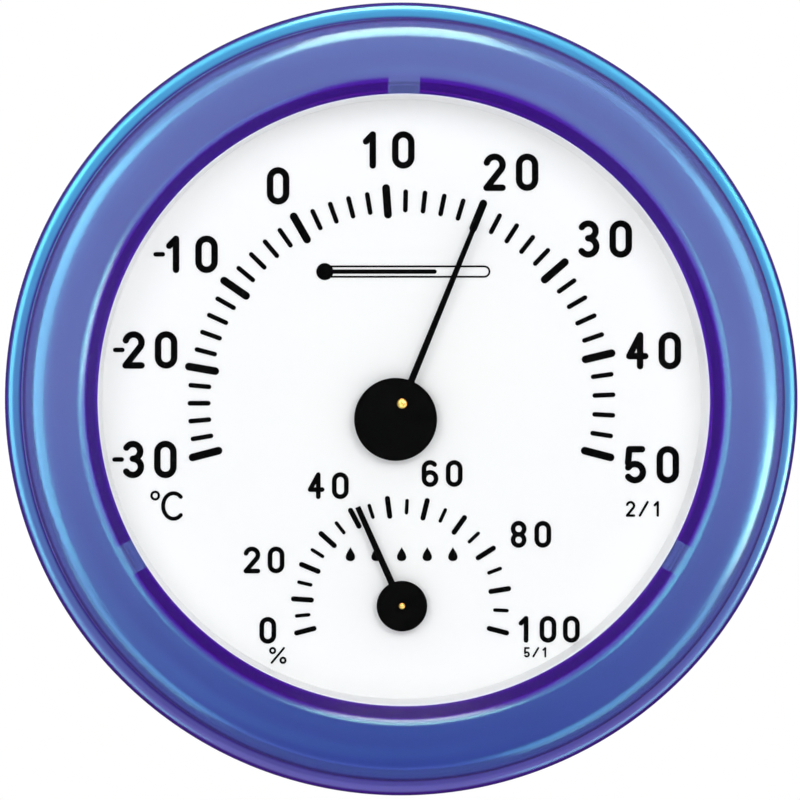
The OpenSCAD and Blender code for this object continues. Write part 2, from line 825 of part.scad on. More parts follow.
module pointer(tip_r, root_w, tip_w, weight_r, weight_back, rise, bore_r) {
  z = dial_z + rise;
  difference() {
    union() {
      translate([0, -weight_back, 0]) disc(weight_r, z, pointer_t);
      translate([0, 0, z]) linear_extrude(height = pointer_t)
        polygon([[-root_w / 2, 0], [root_w / 2, 0], [tip_w / 2, tip_r], [-tip_w / 2, tip_r]]);
      disc(bore_r + sleeve_wall, z - pointer_sleeve, pointer_sleeve + weld);
    }
    bore(bore_r, z - pointer_sleeve, pointer_sleeve + pointer_t);
  }
}

module thermo_yoke() { color(steel) at(temp_axis_y) yoke(temp_coil_r); }
module thermo_yoke_screws() { color(steel) yoke_screws(temp_axis_y, temp_coil_r); }
module thermo_front_bush() { color(brass) at(temp_axis_y) front_bush(); }
module thermo_rear_bush() { color(brass) at(temp_axis_y) rear_bush(); }
module thermo_friction_washer() { color(steel) at(temp_axis_y) friction_washer(); }
module thermo_regulator() { color(brass) at(temp_axis_y) regulator(temp_coil_r); }
module thermo_adjuster() { color(steel) at(temp_axis_y) adjuster(temp_coil_r); }
module thermo_anchor_pin() { color(steel) at(temp_axis_y) anchor_pin(temp_coil_r); }
module bimetal_coil() { color("peru") at(temp_axis_y) coil(temp_coil_r, temp_coil_turns); }
module thermo_collet() { color(brass) at(temp_axis_y) collet(); }
module thermo_arbor() { color(brass) at(temp_axis_y) arbor(temp_pointer_rise, arbor_r); }
module thermo_pointer() {
  color(ink) at(temp_axis_y) at_reading(temp_angle(shown_temp)) pointer(
    temp_tip_r, 1.15, 0.82, temp_weight_r, temp_weight_back, temp_pointer_rise, arbor_r + seat);
}

module hygro_yoke() { color(steel) at(hum_axis_y) yoke(hum_coil_r); }
module hygro_yoke_screws() { color(steel) yoke_screws(hum_axis_y, hum_coil_r); }
module hygro_front_bush() { color(brass) at(hum_axis_y) front_bush(); }
module hygro_rear_bush() { color(brass) at(hum_axis_y) rear_bush(); }
module hygro_friction_washer() { color(steel) at(hum_axis_y) friction_washer(); }
module hygro_regulator() { color(brass) at(hum_axis_y) regulator(hum_coil_r); }
module hygro_adjuster() { color(steel) at(hum_axis_y) adjuster(hum_coil_r); }
module hygro_anchor_pin() { color(steel) at(hum_axis_y) anchor_pin(hum_coil_r); }
module humidity_coil() { color("khaki") at(hum_axis_y) coil(hum_coil_r, hum_coil_turns); }
module hygro_collet() { color(brass) at(hum_axis_y) collet(); }
module hygro_arbor() { color(brass) at(hum_axis_y) arbor(hum_pointer_rise, hum_arbor_tip_r); }
module hygro_pointer() {
  color(ink) at(hum_axis_y) at_reading(hum_angle(shown_humidity)) pointer(
    hum_tip_r, 1.15, 0.9, hum_weight_r, 0, hum_pointer_rise, hum_arbor_tip_r + seat);
}

bezel();
lens();
dial_surround();
dial_plate();
temperature_scale();
humidity_scale();
dial_carrier();
case_ring();
back_cover();
cover_screws();
hanger_plate();
hanger_rivets();
thermo_yoke();
thermo_yoke_screws();
thermo_front_bush();
thermo_rear_bush();
thermo_friction_washer();
thermo_regulator();
thermo_adjuster();
thermo_anchor_pin();
bimetal_coil();
thermo_collet();
thermo_arbor();
thermo_pointer();
hygro_yoke();
hygro_yoke_screws();
hygro_front_bush();
hygro_rear_bush();
hygro_friction_washer();
hygro_regulator();
hygro_adjuster();
hygro_anchor_pin();
humidity_coil();
hygro_collet();
hygro_arbor();
hygro_pointer();
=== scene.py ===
import json
import math

import bmesh
import bpy
from mathutils import Matrix, Vector

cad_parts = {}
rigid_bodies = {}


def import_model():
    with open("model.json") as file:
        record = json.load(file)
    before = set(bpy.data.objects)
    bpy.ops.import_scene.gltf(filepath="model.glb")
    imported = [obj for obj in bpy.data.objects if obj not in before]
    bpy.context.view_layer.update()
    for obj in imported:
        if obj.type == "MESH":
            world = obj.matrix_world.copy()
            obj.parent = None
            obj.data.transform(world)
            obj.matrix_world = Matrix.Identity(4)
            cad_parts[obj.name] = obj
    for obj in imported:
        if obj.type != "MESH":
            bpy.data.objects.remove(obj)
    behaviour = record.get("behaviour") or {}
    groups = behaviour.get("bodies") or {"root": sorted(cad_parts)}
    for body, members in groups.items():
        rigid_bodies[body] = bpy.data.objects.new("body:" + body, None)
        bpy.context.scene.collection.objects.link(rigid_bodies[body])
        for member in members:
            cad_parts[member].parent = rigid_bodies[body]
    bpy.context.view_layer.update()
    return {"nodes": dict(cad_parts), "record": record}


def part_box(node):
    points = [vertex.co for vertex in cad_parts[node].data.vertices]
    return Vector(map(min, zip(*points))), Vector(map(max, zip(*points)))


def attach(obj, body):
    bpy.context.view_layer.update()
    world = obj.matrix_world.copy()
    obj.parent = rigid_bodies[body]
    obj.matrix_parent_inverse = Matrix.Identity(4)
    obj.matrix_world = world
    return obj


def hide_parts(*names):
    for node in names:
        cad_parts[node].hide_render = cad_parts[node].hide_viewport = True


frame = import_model()
nodes = frame["nodes"]
mm = 0.001


def show(text):
    print("thermo-hygrometer:", text)


# Sizes below are in millimetres. A radius is counted from the axis of the case and a level from the wall
# forward, so a point of the dial at (x, y) and level z lies at (x, -z, y) in the frame.
def front(node):
    return -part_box(node)[0].y / mm


def back(node):
    return -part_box(node)[1].y / mm


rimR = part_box("case_ring")[1].x / mm
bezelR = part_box("bezel")[1].x / mm
crownTop = front("bezel")
jointLevel = back("bezel")
lensBack, lensFront = back("lens"), front("lens")
dialFace = front("dial_plate")
dialBack = back("dial_plate")
carrierBack = dialBack - 2
thermoAxis = (0, -0.7)
hygroAxis = (0, -33.9)


class Wire:
    # One output of a node tree. Sums with it add Math nodes to the tree.
    def __init__(self, tree, out):
        self.tree = tree
        self.out = out

    def math(self, operation, a, b=0.0, c=0.0):
        return self.tree.add("ShaderNodeMath", {"operation": operation}, {0: a, 1: b, 2: c})

    def __add__(self, other):
        return self.math("ADD", self, other)

    def __sub__(self, other):
        return self.math("SUBTRACT", self, other)

    def __rsub__(self, other):
        return self.math("SUBTRACT", other, self)

    def __mul__(self, other):
        return self.math("MULTIPLY", self, other)

    def __truediv__(self, other):
        return self.math("DIVIDE", self, other)

    def __pow__(self, other):
        return self.math("POWER", self, other)

    def clipped(self, low, high):
        return self.math("MINIMUM", self.math("MAXIMUM", self, low), high)

    __radd__ = __add__
    __rmul__ = __mul__


class Tree:
    # A node tree of a material, of the world or of a Geometry Nodes modifier
    def __init__(self, tree):
        self.tree = tree

    def add(self, kind, settings=None, values=None, out=0):
        node = self.tree.nodes.new(kind)
        for name, value in (settings or {}).items():
            if name == "stops":
                setStops(node.color_ramp, value)
            else:
                setattr(node, name, value)
        for name, value in (values or {}).items():
            self.feed(node.inputs[name], value)
        return Wire(self, node.outputs[out]) if len(node.outputs) else node

    def feed(self, socket, value):
        if isinstance(value, Wire):
            self.tree.links.new(value.out, socket)
        else:
            socket.default_value = value

    def output(self, wire, name):
        return Wire(self, wire.out.node.outputs[name])

    def parted(self, vector):
        x = self.add("ShaderNodeSeparateXYZ", None, {0: vector})
        return x, self.output(x, "Y"), self.output(x, "Z")

    def colours(self, a, b, factor, blend="MIX"):
        settings = {"data_type": "RGBA", "blend_type": blend}
        return self.add("ShaderNodeMix", settings, {0: factor, 6: a, 7: b}, 2)


def setStops(ramp, stops):
    while len(ramp.elements) < len(stops):
        ramp.elements.new(0.5)
    for element, (place, colour) in zip(ramp.elements, stops):
        element.position = place
        element.color = colour


# Materials

noiseRough = 0.55  # the share of fine detail in every noise


def grey(value):
    return (value, value, value, 1)


class Paint(Tree):
    # A material with patterns in metres on the object's own coordinates
    def __init__(self, name):
        self.material = bpy.data.materials.new(name)
        self.material.use_nodes = True
        super().__init__(self.material.node_tree)
        self.tree.nodes.clear()
        self.place = self.add("ShaderNodeTexCoord", out="Object")

    def noise(self, size, detail, place=None):
        return self.add("ShaderNodeTexNoise", None, {
            "Vector": place or self.place, "Scale": 1 / (size * mm), "Detail": detail,
            "Roughness": noiseRough})

    def centred(self, x, y, squeeze=(1, 1, 1)):
        return self.add("ShaderNodeMapping", None, {
            "Vector": self.place, "Scale": squeeze,
            "Location": (-x * mm * squeeze[0], 0, -y * mm * squeeze[2])})

    # Distance from the case's axis, in metres
    def radius(self):
        across, _, tall = self.parted(self.place)
        return (across * across + tall ** 2) ** 0.5

    # 1 in even gaps of a ring, the first at the top, and 0 elsewhere
    def gaps(self, count, width):
        across, _, tall = self.parted(self.place)
        edge = 0.15 * mm
        found = 0
        for i in range(count):
            turn = 2 * math.pi * i / count
            aside = across * math.cos(turn) - tall * math.sin(turn)
            outward = across * math.sin(turn) + tall * math.cos(turn)
            near = (width / 2 * mm - aside.math("ABSOLUTE", aside)) / edge
            found = near.clipped(0, 1) * outward.math("GREATER_THAN", outward, 0.0) + found
        return found

    def bump(self, height, strength, depth):
        return self.add("ShaderNodeBump", None, {
            "Height": height, "Strength": strength, "Distance": depth * mm})

    def principled(self, **values):
        names = {name.replace("_", " "): value for name, value in values.items()}
        return self.add("ShaderNodeBsdfPrincipled", None, names)

    def done(self, surface, volume=None):
        values = {"Surface": surface}
        if volume:
            values["Volume"] = volume
        self.add("ShaderNodeOutputMaterial", None, values)
        return self.material


# The tints by the distance from the axis in mm, at the top and at the foot of the case. The foot tints are
# darker as painted shade, and the top tints lighter as painted light. The bezel is deep violet in the skirt,
# blue over the white brim, lighter on the outer shoulder as painted light and purple in the outer wall. The
# case ring is cyan in the flange at the top as painted light, and purple there at the foot. Lit is what one
# face lets by for the lamps, and density and passed are what the depth takes. Up to mattTo the bezel mirrors
# less. Fade turns the height on the case into the share of the top tint, which paints the shade towards the
# foot.
bezelTint = {
    "zones": (52.6, 53.2, 59.8, 60.8, 61.8, 62.1),
    "top": ((0.1, 0.01, 0.4, 1), (0.18, 0.23, 0.48, 1), (0.18, 0.23, 0.48, 1), (0.24, 0.36, 0.7, 1),
            (0.24, 0.36, 0.7, 1), (0.13, 0.09, 0.4, 1)),
    "foot": ((0.09, 0.005, 0.34, 1), (0.05, 0.085, 0.35, 1), (0.05, 0.085, 0.35, 1), (0.13, 0.22, 0.62, 1),
             (0.13, 0.22, 0.62, 1), (0.06, 0.035, 0.3, 1)),
    "clear": 0.7, "lit": (0.75, 0.86, 0.92, 1), "gloss": (0.14, 0.76, 0.8, 1), "rough": 0.19,
    "density": 150.0, "passed": (1, 0.4, 1, 1), "gaps": 3, "gapWidth": 5.4,
    "mattGloss": (0.08, 0.44, 0.44, 1), "mattTo": 54.2, "mattEdge": 0.6, "fade": (1.0, 0.95),
}
ringTint = {
    "zones": (58.0, 61.5, 62.5, 62.9, 64.3, 64.6),
    "top": ((0.16, 0.2, 0.5, 1), (0.1, 0.06, 0.38, 1), (0.1, 0.06, 0.38, 1), (0.13, 0.62, 0.88, 1),
            (0.13, 0.62, 0.88, 1), (0.1, 0.03, 0.28, 1)),
    "foot": ((0.1, 0.12, 0.42, 1), (0.07, 0.03, 0.28, 1), (0.07, 0.03, 0.28, 1), (0.19, 0.17, 0.5, 1),
             (0.19, 0.17, 0.5, 1), (0.07, 0.01, 0.24, 1)),
    "clear": 0.4, "lit": (0.7, 0.82, 0.92, 1), "gloss": (0.15, 0.78, 0.85, 1), "rough": 0.14,
    "density": 60.0, "passed": (0.9, 0.6, 1, 1), "gaps": 0, "mattGloss": None, "fade": (0.8, 0.62),
}
tintFrom, tintWidth = 50, 16  # the radii that the zones are spread over
moulding = {
    "waves": (14, 2.0), "grain": (0.6, 3.0), "deeper": 0.9, "grainRough": 0.02, "bump": (0.15, 0.04),
    "ior": 1.5,
}


# Glass that lets the light of lamps and of lit faces straight through, so that what it covers is lit once
def letsLight(paint, glass, tone):
    clear = paint.add("ShaderNodeBsdfTransparent", None, {"Color": tone})
    diffuse = paint.add("ShaderNodeLightPath", out="Is Diffuse Ray")
    shadow = paint.add("ShaderNodeLightPath", out="Is Shadow Ray")
    inner = paint.add("ShaderNodeMixShader", None, {0: diffuse, 1: glass, 2: clear})
    return paint.add("ShaderNodeMixShader", None, {0: shadow, 1: inner, 2: clear})


def tintedPlastic(name, tint):
    s = moulding
    paint = Paint(name)
    waves = paint.noise(*s["waves"])
    grain = paint.noise(*s["grain"])
    zones = [(zone - tintFrom) / tintWidth for zone in tint["zones"]]
    out = paint.radius() / mm
    reach = (out - tintFrom) / tintWidth
    if tint["gaps"]:
        gaps = paint.gaps(tint["gaps"], tint["gapWidth"])
        # A gap has the tint of the second zone
        reach = reach.math("MAXIMUM", reach, gaps * (zones[1] + 0.01))
    top, foot = (paint.add("ShaderNodeValToRGB", {"stops": list(zip(zones, tint[end]))}, {"Fac": reach})
                 for end in ("top", "foot"))
    # Painted shade: the tint turns from the lighter top tint to the darker foot tint down the case
    tall = paint.parted(paint.place)[2] / (rimR * mm)
    tone = paint.colours(foot, top, (tall * tint["fade"][0] + tint["fade"][1]).clipped(0, 1))
    shades = {
        "Base_Color": paint.colours(tone, paint.colours(tone, grey(s["deeper"]), 1.0, "MULTIPLY"), waves),
        "Roughness": grain * s["grainRough"] + tint["rough"],
        "Normal": paint.bump(waves, *s["bump"]),
        "IOR": s["ior"],
        "Transmission_Weight": tint["clear"],
    }
    glass = paint.principled(Specular_Tint=tint["gloss"], **shades)
    if tint["mattGloss"]:
        matt = paint.principled(Specular_Tint=tint["mattGloss"], **shades)
        inner = ((tint["mattTo"] - out) / tint["mattEdge"]).clipped(0, 1)
        glass = paint.add("ShaderNodeMixShader", None, {0: inner, 1: glass, 2: matt})
    volume = paint.add("ShaderNodeVolumeAbsorption", None, {
        "Color": tint["passed"], "Density": tint["density"]})
    return paint.done(letsLight(paint, glass, tint["lit"]), volume)


lensGlass = {
    "shades": ((0.985, 0.99, 1, 1), (1, 1, 1, 1)), "waves": (20, 2.0), "grain": (0.8, 3.0),
    "grainRough": 0.01, "bump": (0.1, 0.02), "ior": 1.49, "lit": (0.97, 0.98, 0.98, 1),
}


def clearLens():
    s = lensGlass
    paint = Paint("clearLens")
    waves = paint.noise(*s["waves"])
    glass = paint.principled(
        Base_Color=paint.colours(*s["shades"], waves),
        Roughness=paint.noise(*s["grain"]) * s["grainRough"],
        IOR=s["ior"],
        Transmission_Weight=1.0,
        Normal=paint.bump(waves, *s["bump"]))
    return paint.done(letsLight(paint, glass, s["lit"]))


# Two shades mixed in clouds, and a finer grain that roughens and lifts the surface. Clouds and grain are
# given by their size in mm and their detail, and a drawn grain is long where its value is small.
metal = {"Metallic": 1.0}
strip = {"cloud": (2.2, 3.0), "grain": (0.3, 4.0), "drawn": (0.15, 1, 0.15), "rough": (0.2, 0.24),
         "bump": (0.25, 0.01), "more": metal}
plainFinishes = {
    "white_plastic": {
        "name": "whitePlastic", "shades": ((0.92, 0.92, 0.925, 1), (0.945, 0.945, 0.94, 1)),
        "cloud": (9, 3.0), "grain": (0.35, 3.0), "rough": (0.12, 0.38), "bump": (0.25, 0.03)},
    "dial_white": {
        "name": "dialWhite", "shades": ((0.94, 0.935, 0.93, 1), (0.955, 0.95, 0.94, 1)),
        "cloud": (16, 4.0), "grain": (0.25, 4.0), "rough": (0.1, 0.5), "bump": (0.2, 0.015)},
    "black_print": {
        "name": "blackPrint", "shades": (grey(0.0008), grey(0.002)),
        "cloud": (0.5, 4.0), "grain": (0.5, 4.0), "rough": (0.2, 0.5), "bump": (0.3, 0.02),
        "more": {"Specular_IOR_Level": 0.04}},
    "black_paint": {
        "name": "blackPaint", "shades": (grey(0.0006), grey(0.0016)),
        "cloud": (3, 2.0), "grain": (0.18, 5.0), "rough": (0.2, 0.4), "bump": (0.35, 0.02),
        "more": {"Specular_IOR_Level": 0.05}},
    "zinc_steel": {
        "name": "zincSteel", "shades": ((0.5, 0.51, 0.53, 1), (0.7, 0.7, 0.69, 1)),
        "cloud": (3.5, 3.0), "grain": (0.5, 4.0), "drawn": (0.08, 1, 1), "rough": (0.2, 0.22),
        "bump": (0.2, 0.01), "more": metal},
    "bimetal_strip": {
        "name": "bimetalStrip", "shades": ((0.5, 0.36, 0.24, 1), (0.7, 0.6, 0.5, 1)), **strip},
    "humidity_strip": {
        "name": "humidityStrip", "shades": ((0.55, 0.46, 0.26, 1), (0.74, 0.68, 0.5, 1)), **strip},
}


def plainFinish(s):
    paint = Paint(s["name"])
    grain = paint.noise(*s["grain"], paint.centred(0, 0, s.get("drawn", (1, 1, 1))))
    return paint.done(paint.principled(
        Base_Color=paint.colours(*s["shades"], paint.noise(*s["cloud"])),
        Roughness=grain * s["rough"][0] + s["rough"][1],
        Normal=paint.bump(grain, *s["bump"]),
        **s.get("more", {})))


# Turned brass: fine rings about the piece's own axis, and a little tarnish
brassFinish = {
    "shades": ((0.7, 0.5, 0.1, 1), (0.92, 0.72, 0.22, 1)), "ring": 1.1, "bend": 0.6, "detail": 2.0,
    "tarnish": (1.6, 4.0), "spread": 0.12, "rough": 0.16, "bump": (0.25, 0.01),
}


def turnedBrass(name, axis):
    s = brassFinish
    paint = Paint(name)
    rings = paint.add("ShaderNodeTexWave", {"wave_type": "RINGS", "rings_direction": "Y"}, {
        "Vector": paint.centred(*axis), "Scale": 1 / (s["ring"] * mm), "Distortion": s["bend"],
        "Detail": s["detail"], "Detail Scale": s["detail"]})
    rings = paint.output(rings, "Fac")
    tarnish = paint.noise(*s["tarnish"])
    return paint.done(paint.principled(
        Base_Color=paint.colours(*s["shades"], tarnish),
        Metallic=1.0,
        Roughness=rings * s["spread"] + tarnish * s["spread"] + s["rough"],
        Normal=paint.bump(rings, *s["bump"])))


finishes = {
    "tinted_plastic": tintedPlastic("tintedPlastic", bezelTint),
    "tinted_back": tintedPlastic("tintedBack", ringTint),
    "clear_lens": clearLens(),
    "brass": turnedBrass("brass", (0, 0)),
    "thermo_brass": turnedBrass("thermoBrass", thermoAxis),
    "hygro_brass": turnedBrass("hygroBrass", hygroAxis),
}
for slot, finish in plainFinishes.items():
    finishes[slot] = plainFinish(finish)
show("materials made")


# Outlines are lists of (radius, level), counterclockwise with the radius to the right

def arc(centre, radius, start, end, steps):
    turns = [math.radians(start + (end - start) * i / steps) for i in range(steps + 1)]
    return [(centre[0] + radius * math.cos(a), centre[1] + radius * math.sin(a)) for a in turns]


leastTurn = 25  # degrees
sideShare = 0.45  # the share of a side that one corner's curve may take


# Each corner that turns by more than the least becomes a small curve
def softCorners(outline, radius, steps=4):
    points = [Vector(p) for i, p in enumerate(outline)
              if (Vector(p) - Vector(outline[i - 1])).length > 1e-4]
    soft = []
    for i, corner in enumerate(points):
        if abs(corner.x) < 1e-6:
            soft.append(corner)
            continue
        before = points[i - 1] - corner
        after = points[(i + 1) % len(points)] - corner
        turn = math.pi - before.angle(after)
        if turn < math.radians(leastTurn):
            soft.append(corner)
            continue
        reach = min(radius * math.tan(turn / 2), sideShare * before.length, sideShare * after.length)
        start = corner + before.normalized() * reach
        end = corner + after.normalized() * reach
        for k in range(steps + 1):
            t = k / steps
            soft.append(start * (1 - t) ** 2 + corner * 2 * t * (1 - t) + end * t ** 2)
    return [tuple(p) for p in soft]


def newObject(name, mesh):
    piece = bpy.data.objects.new(name, mesh)
    bpy.context.scene.collection.objects.link(piece)
    return piece


def geometryTree(name, inputs):
    group = bpy.data.node_groups.new(name, "GeometryNodeTree")
    inputs = [("Geometry", "Geometry")] + inputs
    for label, kind in inputs:
        group.interface.new_socket(name=label, in_out="INPUT", socket_type="NodeSocket" + kind)
    group.interface.new_socket(name="Geometry", in_out="OUTPUT", socket_type="NodeSocketGeometry")
    tree = Tree(group)
    start = tree.add("NodeGroupInput")
    return tree, {label: tree.output(start, label) for label, kind in inputs}


def madeReal(tree, geometry):
    return tree.add("GeometryNodeRealizeInstances", None, {"Geometry": geometry})


def endTree(tree, geometry):
    tree.add("NodeGroupOutput", None, {"Geometry": madeReal(tree, geometry)})
    return tree


# The given outline swept along a path
def sweptAlong(tree, given, path, caps):
    outline = tree.add("GeometryNodeMeshToCurve", None, {"Mesh": given["Geometry"]})
    return tree.add("GeometryNodeCurveToMesh", None, {
        "Curve": path, "Profile Curve": outline, "Fill Caps": caps})


def moved(tree, geometry, rotation, translation=(0, 0, 0)):
    return tree.add("GeometryNodeTransform", None, {
        "Geometry": geometry, "Rotation": rotation, "Translation": translation})


def spotsAt(tree, count, place):
    spots = tree.add("GeometryNodePoints", None, {"Count": count})
    place = tree.add("ShaderNodeCombineXYZ", None, place)
    return tree.add("GeometryNodeSetPosition", None, {"Geometry": spots, "Position": place})


# Copies of a shape at points, or at the chosen ones, each turned by its own angles
def copied(tree, spots, shape, angles, chosen=True):
    facing = tree.add("ShaderNodeCombineXYZ", None, angles)
    return tree.add("GeometryNodeInstanceOnPoints", None, {
        "Points": spots, "Instance": shape, "Selection": chosen,
        "Rotation": tree.add("FunctionNodeEulerToRotation", None, {"Euler": facing})})


# A piece with its modifiers worked into its mesh
def applied(piece):
    bpy.context.view_layer.update()
    made = bpy.data.meshes.new_from_object(piece.evaluated_get(bpy.context.evaluated_depsgraph_get()))
    made.name = piece.data.name
    piece.modifiers.clear()
    piece.data = made
    return piece


# Runs a tree on a mesh and keeps the result as a plain mesh
def grown(name, tree, mesh, **values):
    piece = newObject(name, mesh)
    modifier = piece.modifiers.new("shape", "NODES")
    modifier.node_group = tree.tree
    for item in tree.tree.interface.items_tree:
        label = item.name.replace(" ", "")
        if item.in_out == "INPUT" and label in values:
            modifier[item.identifier] = values[label]
    return applied(piece)


sharpFrom = 35  # degrees


# Smooth over curves, sharp at edges, with the large faces leading the shading
def shaded(piece):
    mesh = piece.data
    mesh.polygons.foreach_set("use_smooth", [True] * len(mesh.polygons))
    mesh.set_sharp_from_angle(angle=math.radians(sharpFrom))
    piece.modifiers.new("weighted", "WEIGHTED_NORMAL").keep_sharp = True
    return applied(piece)


bodyOf = {n: body for body, names in frame["record"]["behaviour"]["bodies"].items() for n in names}
slotOf = {p["node"]: p["material_slot"] for p in frame["record"]["subparts"]}

# CoilR is the outer radius of the coil, tipR that of the arbor's end, and rise the pointer's height over
# the dial
movements = {
    "thermo": {"axis": thermoAxis, "coilR": 10.4, "tipR": 0.8, "rise": 2.2, "coil": "bimetal", "turns": 6.0},
    "hygro": {"axis": hygroAxis, "coilR": 8.6, "tipR": 0.5, "rise": 1.6, "coil": "humidity", "turns": 5.0},
}


# The finish of a piece: brass is turned about the axis of its own movement
def finishOf(node):
    slot = slotOf[node]
    movement = node.split("_")[0]
    return movement + "_brass" if slot == "brass" and movement in movements else slot


# Gives a piece the body and the finish of the node that it stands for, and hides that node
def placed(piece, node, finish=None):
    piece.data.materials.clear()
    piece.data.materials.append(finishes[finish or finishOf(node)])
    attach(piece, bodyOf[node])
    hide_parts(node)
    return piece


mergeWithin = 0.001 * mm


# A closed outline swept round the case's axis
def ringTree():
    tree, given = geometryTree("ringSweep", [("Path Radius", "Float"), ("Steps", "Int")])
    path = tree.add("GeometryNodeCurvePrimitiveCircle", None, {
        "Resolution": given["Steps"], "Radius": given["Path Radius"]})
    merged = tree.add("GeometryNodeMergeByDistance", None, {
        "Geometry": sweptAlong(tree, given, path, False), "Distance": mergeWithin})
    return endTree(tree, moved(tree, merged, (-math.pi / 2, 0, 0)))


ringSweep = ringTree()
ringSteps = 288


# An outline with both ends on the axis stays open there
def outlineMesh(name, outline, pathR):
    mesh = bpy.data.meshes.new(name)
    count = len(outline)
    toAxis = abs(outline[0][0]) < 1e-6 and abs(outline[-1][0]) < 1e-6
    mesh.from_pydata([((r - pathR) * mm, z * mm, 0) for r, z in outline],
                     [(i, (i + 1) % count) for i in range(count - toAxis)], [])
    return mesh


def sweptRing(name, outline):
    pathR = rimR / 2
    mesh = outlineMesh(name, outline, pathR)
    return grown(name, ringSweep, mesh, PathRadius=pathR * mm, Steps=ringSteps)


bezelShape = {
    "width": 14.9, "wall": 2.2, "crownWall": 2, "crownR": 14, "outerShoulder": 4, "innerShoulder": 3,
    "lip": 1.4, "skirtSet": 1.2, "skirtWall": 1.2, "skirtGap": 1.2, "grooveDeep": 0.8,
    "groove": (2.8, 4.7), "notchWidth": 5.4, "notches": 3, "notchPast": 1, "edge": 0.25,
}


def bezelOutline():
    s = bezelShape
    windowR = rimR - s["width"]
    skirtIn = windowR + s["skirtSet"]
    skirtOut = skirtIn + s["skirtWall"]
    boreR = bezelR - s["wall"]
    middle = ((bezelR + windowR) / 2, crownTop - s["crownR"])
    outerX = bezelR - s["outerShoulder"] - middle[0]
    outerY = math.sqrt((s["crownR"] - s["outerShoulder"]) ** 2 - outerX ** 2)
    gap = windowR - lensFront - s["lip"] + s["innerShoulder"] * math.sqrt(2) + middle[1] - middle[0]
    innerX = (gap + math.sqrt(2 * (s["crownR"] - s["innerShoulder"]) ** 2 - gap ** 2)) / 2
    innerY = innerX - gap
    outerTurn = math.degrees(math.atan2(outerY, outerX))
    innerTurn = math.degrees(math.atan2(innerY, innerX))
    cavityR = s["crownR"] - s["crownWall"]
    cavityOut = math.degrees(math.acos((boreR - middle[0]) / cavityR))
    cavityIn = math.degrees(math.acos((skirtOut - middle[0]) / cavityR))
    outer = (middle[0] + outerX, middle[1] + outerY)
    inner = (middle[0] + innerX, middle[1] + innerY)
    low, high = (jointLevel + z for z in s["groove"])
    return softCorners(
        [(bezelR, jointLevel)]
        + arc(outer, s["outerShoulder"], 0, outerTurn, 20)
        + arc(middle, s["crownR"], outerTurn, innerTurn, 24)[1:]
        + arc(inner, s["innerShoulder"], innerTurn, 135, 12)[1:]
        + [(windowR, lensFront + s["lip"]), (windowR, lensFront), (skirtIn, lensFront),
           (skirtIn, dialFace + s["skirtGap"]), (skirtOut, dialFace + s["skirtGap"])]
        + arc(middle, cavityR, cavityIn, cavityOut, 24)
        + [(boreR, high), (boreR + s["grooveDeep"], high), (boreR + s["grooveDeep"], low), (boreR, low),
           (boreR, jointLevel)],
        s["edge"])


# Notches cut round a ring by boxes at even steps, the first at the top
def notchTree():
    tree, given = geometryTree("notches", [
        ("Count", "Int"), ("Radius", "Float"), ("Level", "Float"), ("Box", "Vector")])
    number = tree.add("GeometryNodeInputIndex")
    turn = number * (2 * math.pi) / given["Count"]
    spots = spotsAt(tree, given["Count"], {
        "X": turn.math("SINE", turn) * given["Radius"], "Y": given["Level"] * -1,
        "Z": turn.math("COSINE", turn) * given["Radius"]})
    box = tree.add("GeometryNodeMeshCube", None, {"Size": given["Box"]})
    boxes = madeReal(tree, copied(tree, spots, box, {"Y": turn}))
    cut = tree.add("GeometryNodeMeshBoolean", {"operation": "DIFFERENCE", "solver": "MANIFOLD"}, {
        "Mesh 1": given["Geometry"], "Mesh 2": boxes})
    return endTree(tree, cut)


def makeBezel():
    s = bezelShape
    ring = sweptRing("bezel_ring", bezelOutline())
    skirtR = rimR - s["width"] + s["skirtSet"] + s["skirtWall"] / 2
    low = dialFace + s["skirtGap"] - s["notchPast"]
    box = (s["notchWidth"] * mm, (lensFront - low) * mm, (s["skirtWall"] + 2 * s["notchPast"]) * mm)
    notched = grown("bezel_shell", notchTree(), ring.data, Count=s["notches"], Radius=skirtR * mm,
                    Level=(low + lensFront) / 2 * mm, Box=box)
    bpy.data.objects.remove(ring)
    placed(shaded(notched), "bezel")


ringShape = {
    "flange": 3, "flangeRoot": 0.3, "backEdge": 4, "sideStep": 4.5, "backRim": 2.5, "wall": 2.2,
    "spigotWall": 1.8, "spigot": 5, "slip": 0.2, "seat": 1.5, "cover": 2, "ledge": 1.5, "ledgeWidth": 2.7,
    "edge": 0.25, "beads": 3, "beadFrom": 3.0, "beadHeight": 1.5, "beadOut": 0.6, "beadSunk": 0.4,
    "beadRamps": (0.3, 0.6), "beadEdge": 0.15, "beadArc": 24, "beadSteps": 33,
}


# Snap beads swept along short arcs and joined to the ring, the first on the lowest point of the case
def beadTree():
    tree, given = geometryTree("beads", [
        ("Ring", "Object"), ("Count", "Int"), ("Radius", "Float"), ("Sweep", "Float"), ("Steps", "Int")])
    path = tree.add("GeometryNodeCurveArc", {"mode": "RADIUS"}, {
        "Resolution": given["Steps"], "Radius": given["Radius"],
        "Start Angle": given["Sweep"] * -0.5 + math.pi / 2, "Sweep Angle": given["Sweep"]})
    number = tree.add("GeometryNodeInputIndex")
    beads = copied(tree, spotsAt(tree, given["Count"], {}), sweptAlong(tree, given, path, True),
                   {"Z": number * (2 * math.pi) / given["Count"]})
    stood = moved(tree, madeReal(tree, beads), (-math.pi / 2, 0, 0))
    ring = tree.add("GeometryNodeObjectInfo", None, {"Object": given["Ring"]})
    joined = tree.add("GeometryNodeMeshBoolean", {"operation": "UNION", "solver": "MANIFOLD"},
                      {"Mesh 2": tree.output(ring, "Geometry")})
    tree.tree.links.new(stood.out, joined.out.node.inputs["Mesh 2"])
    return endTree(tree, joined)


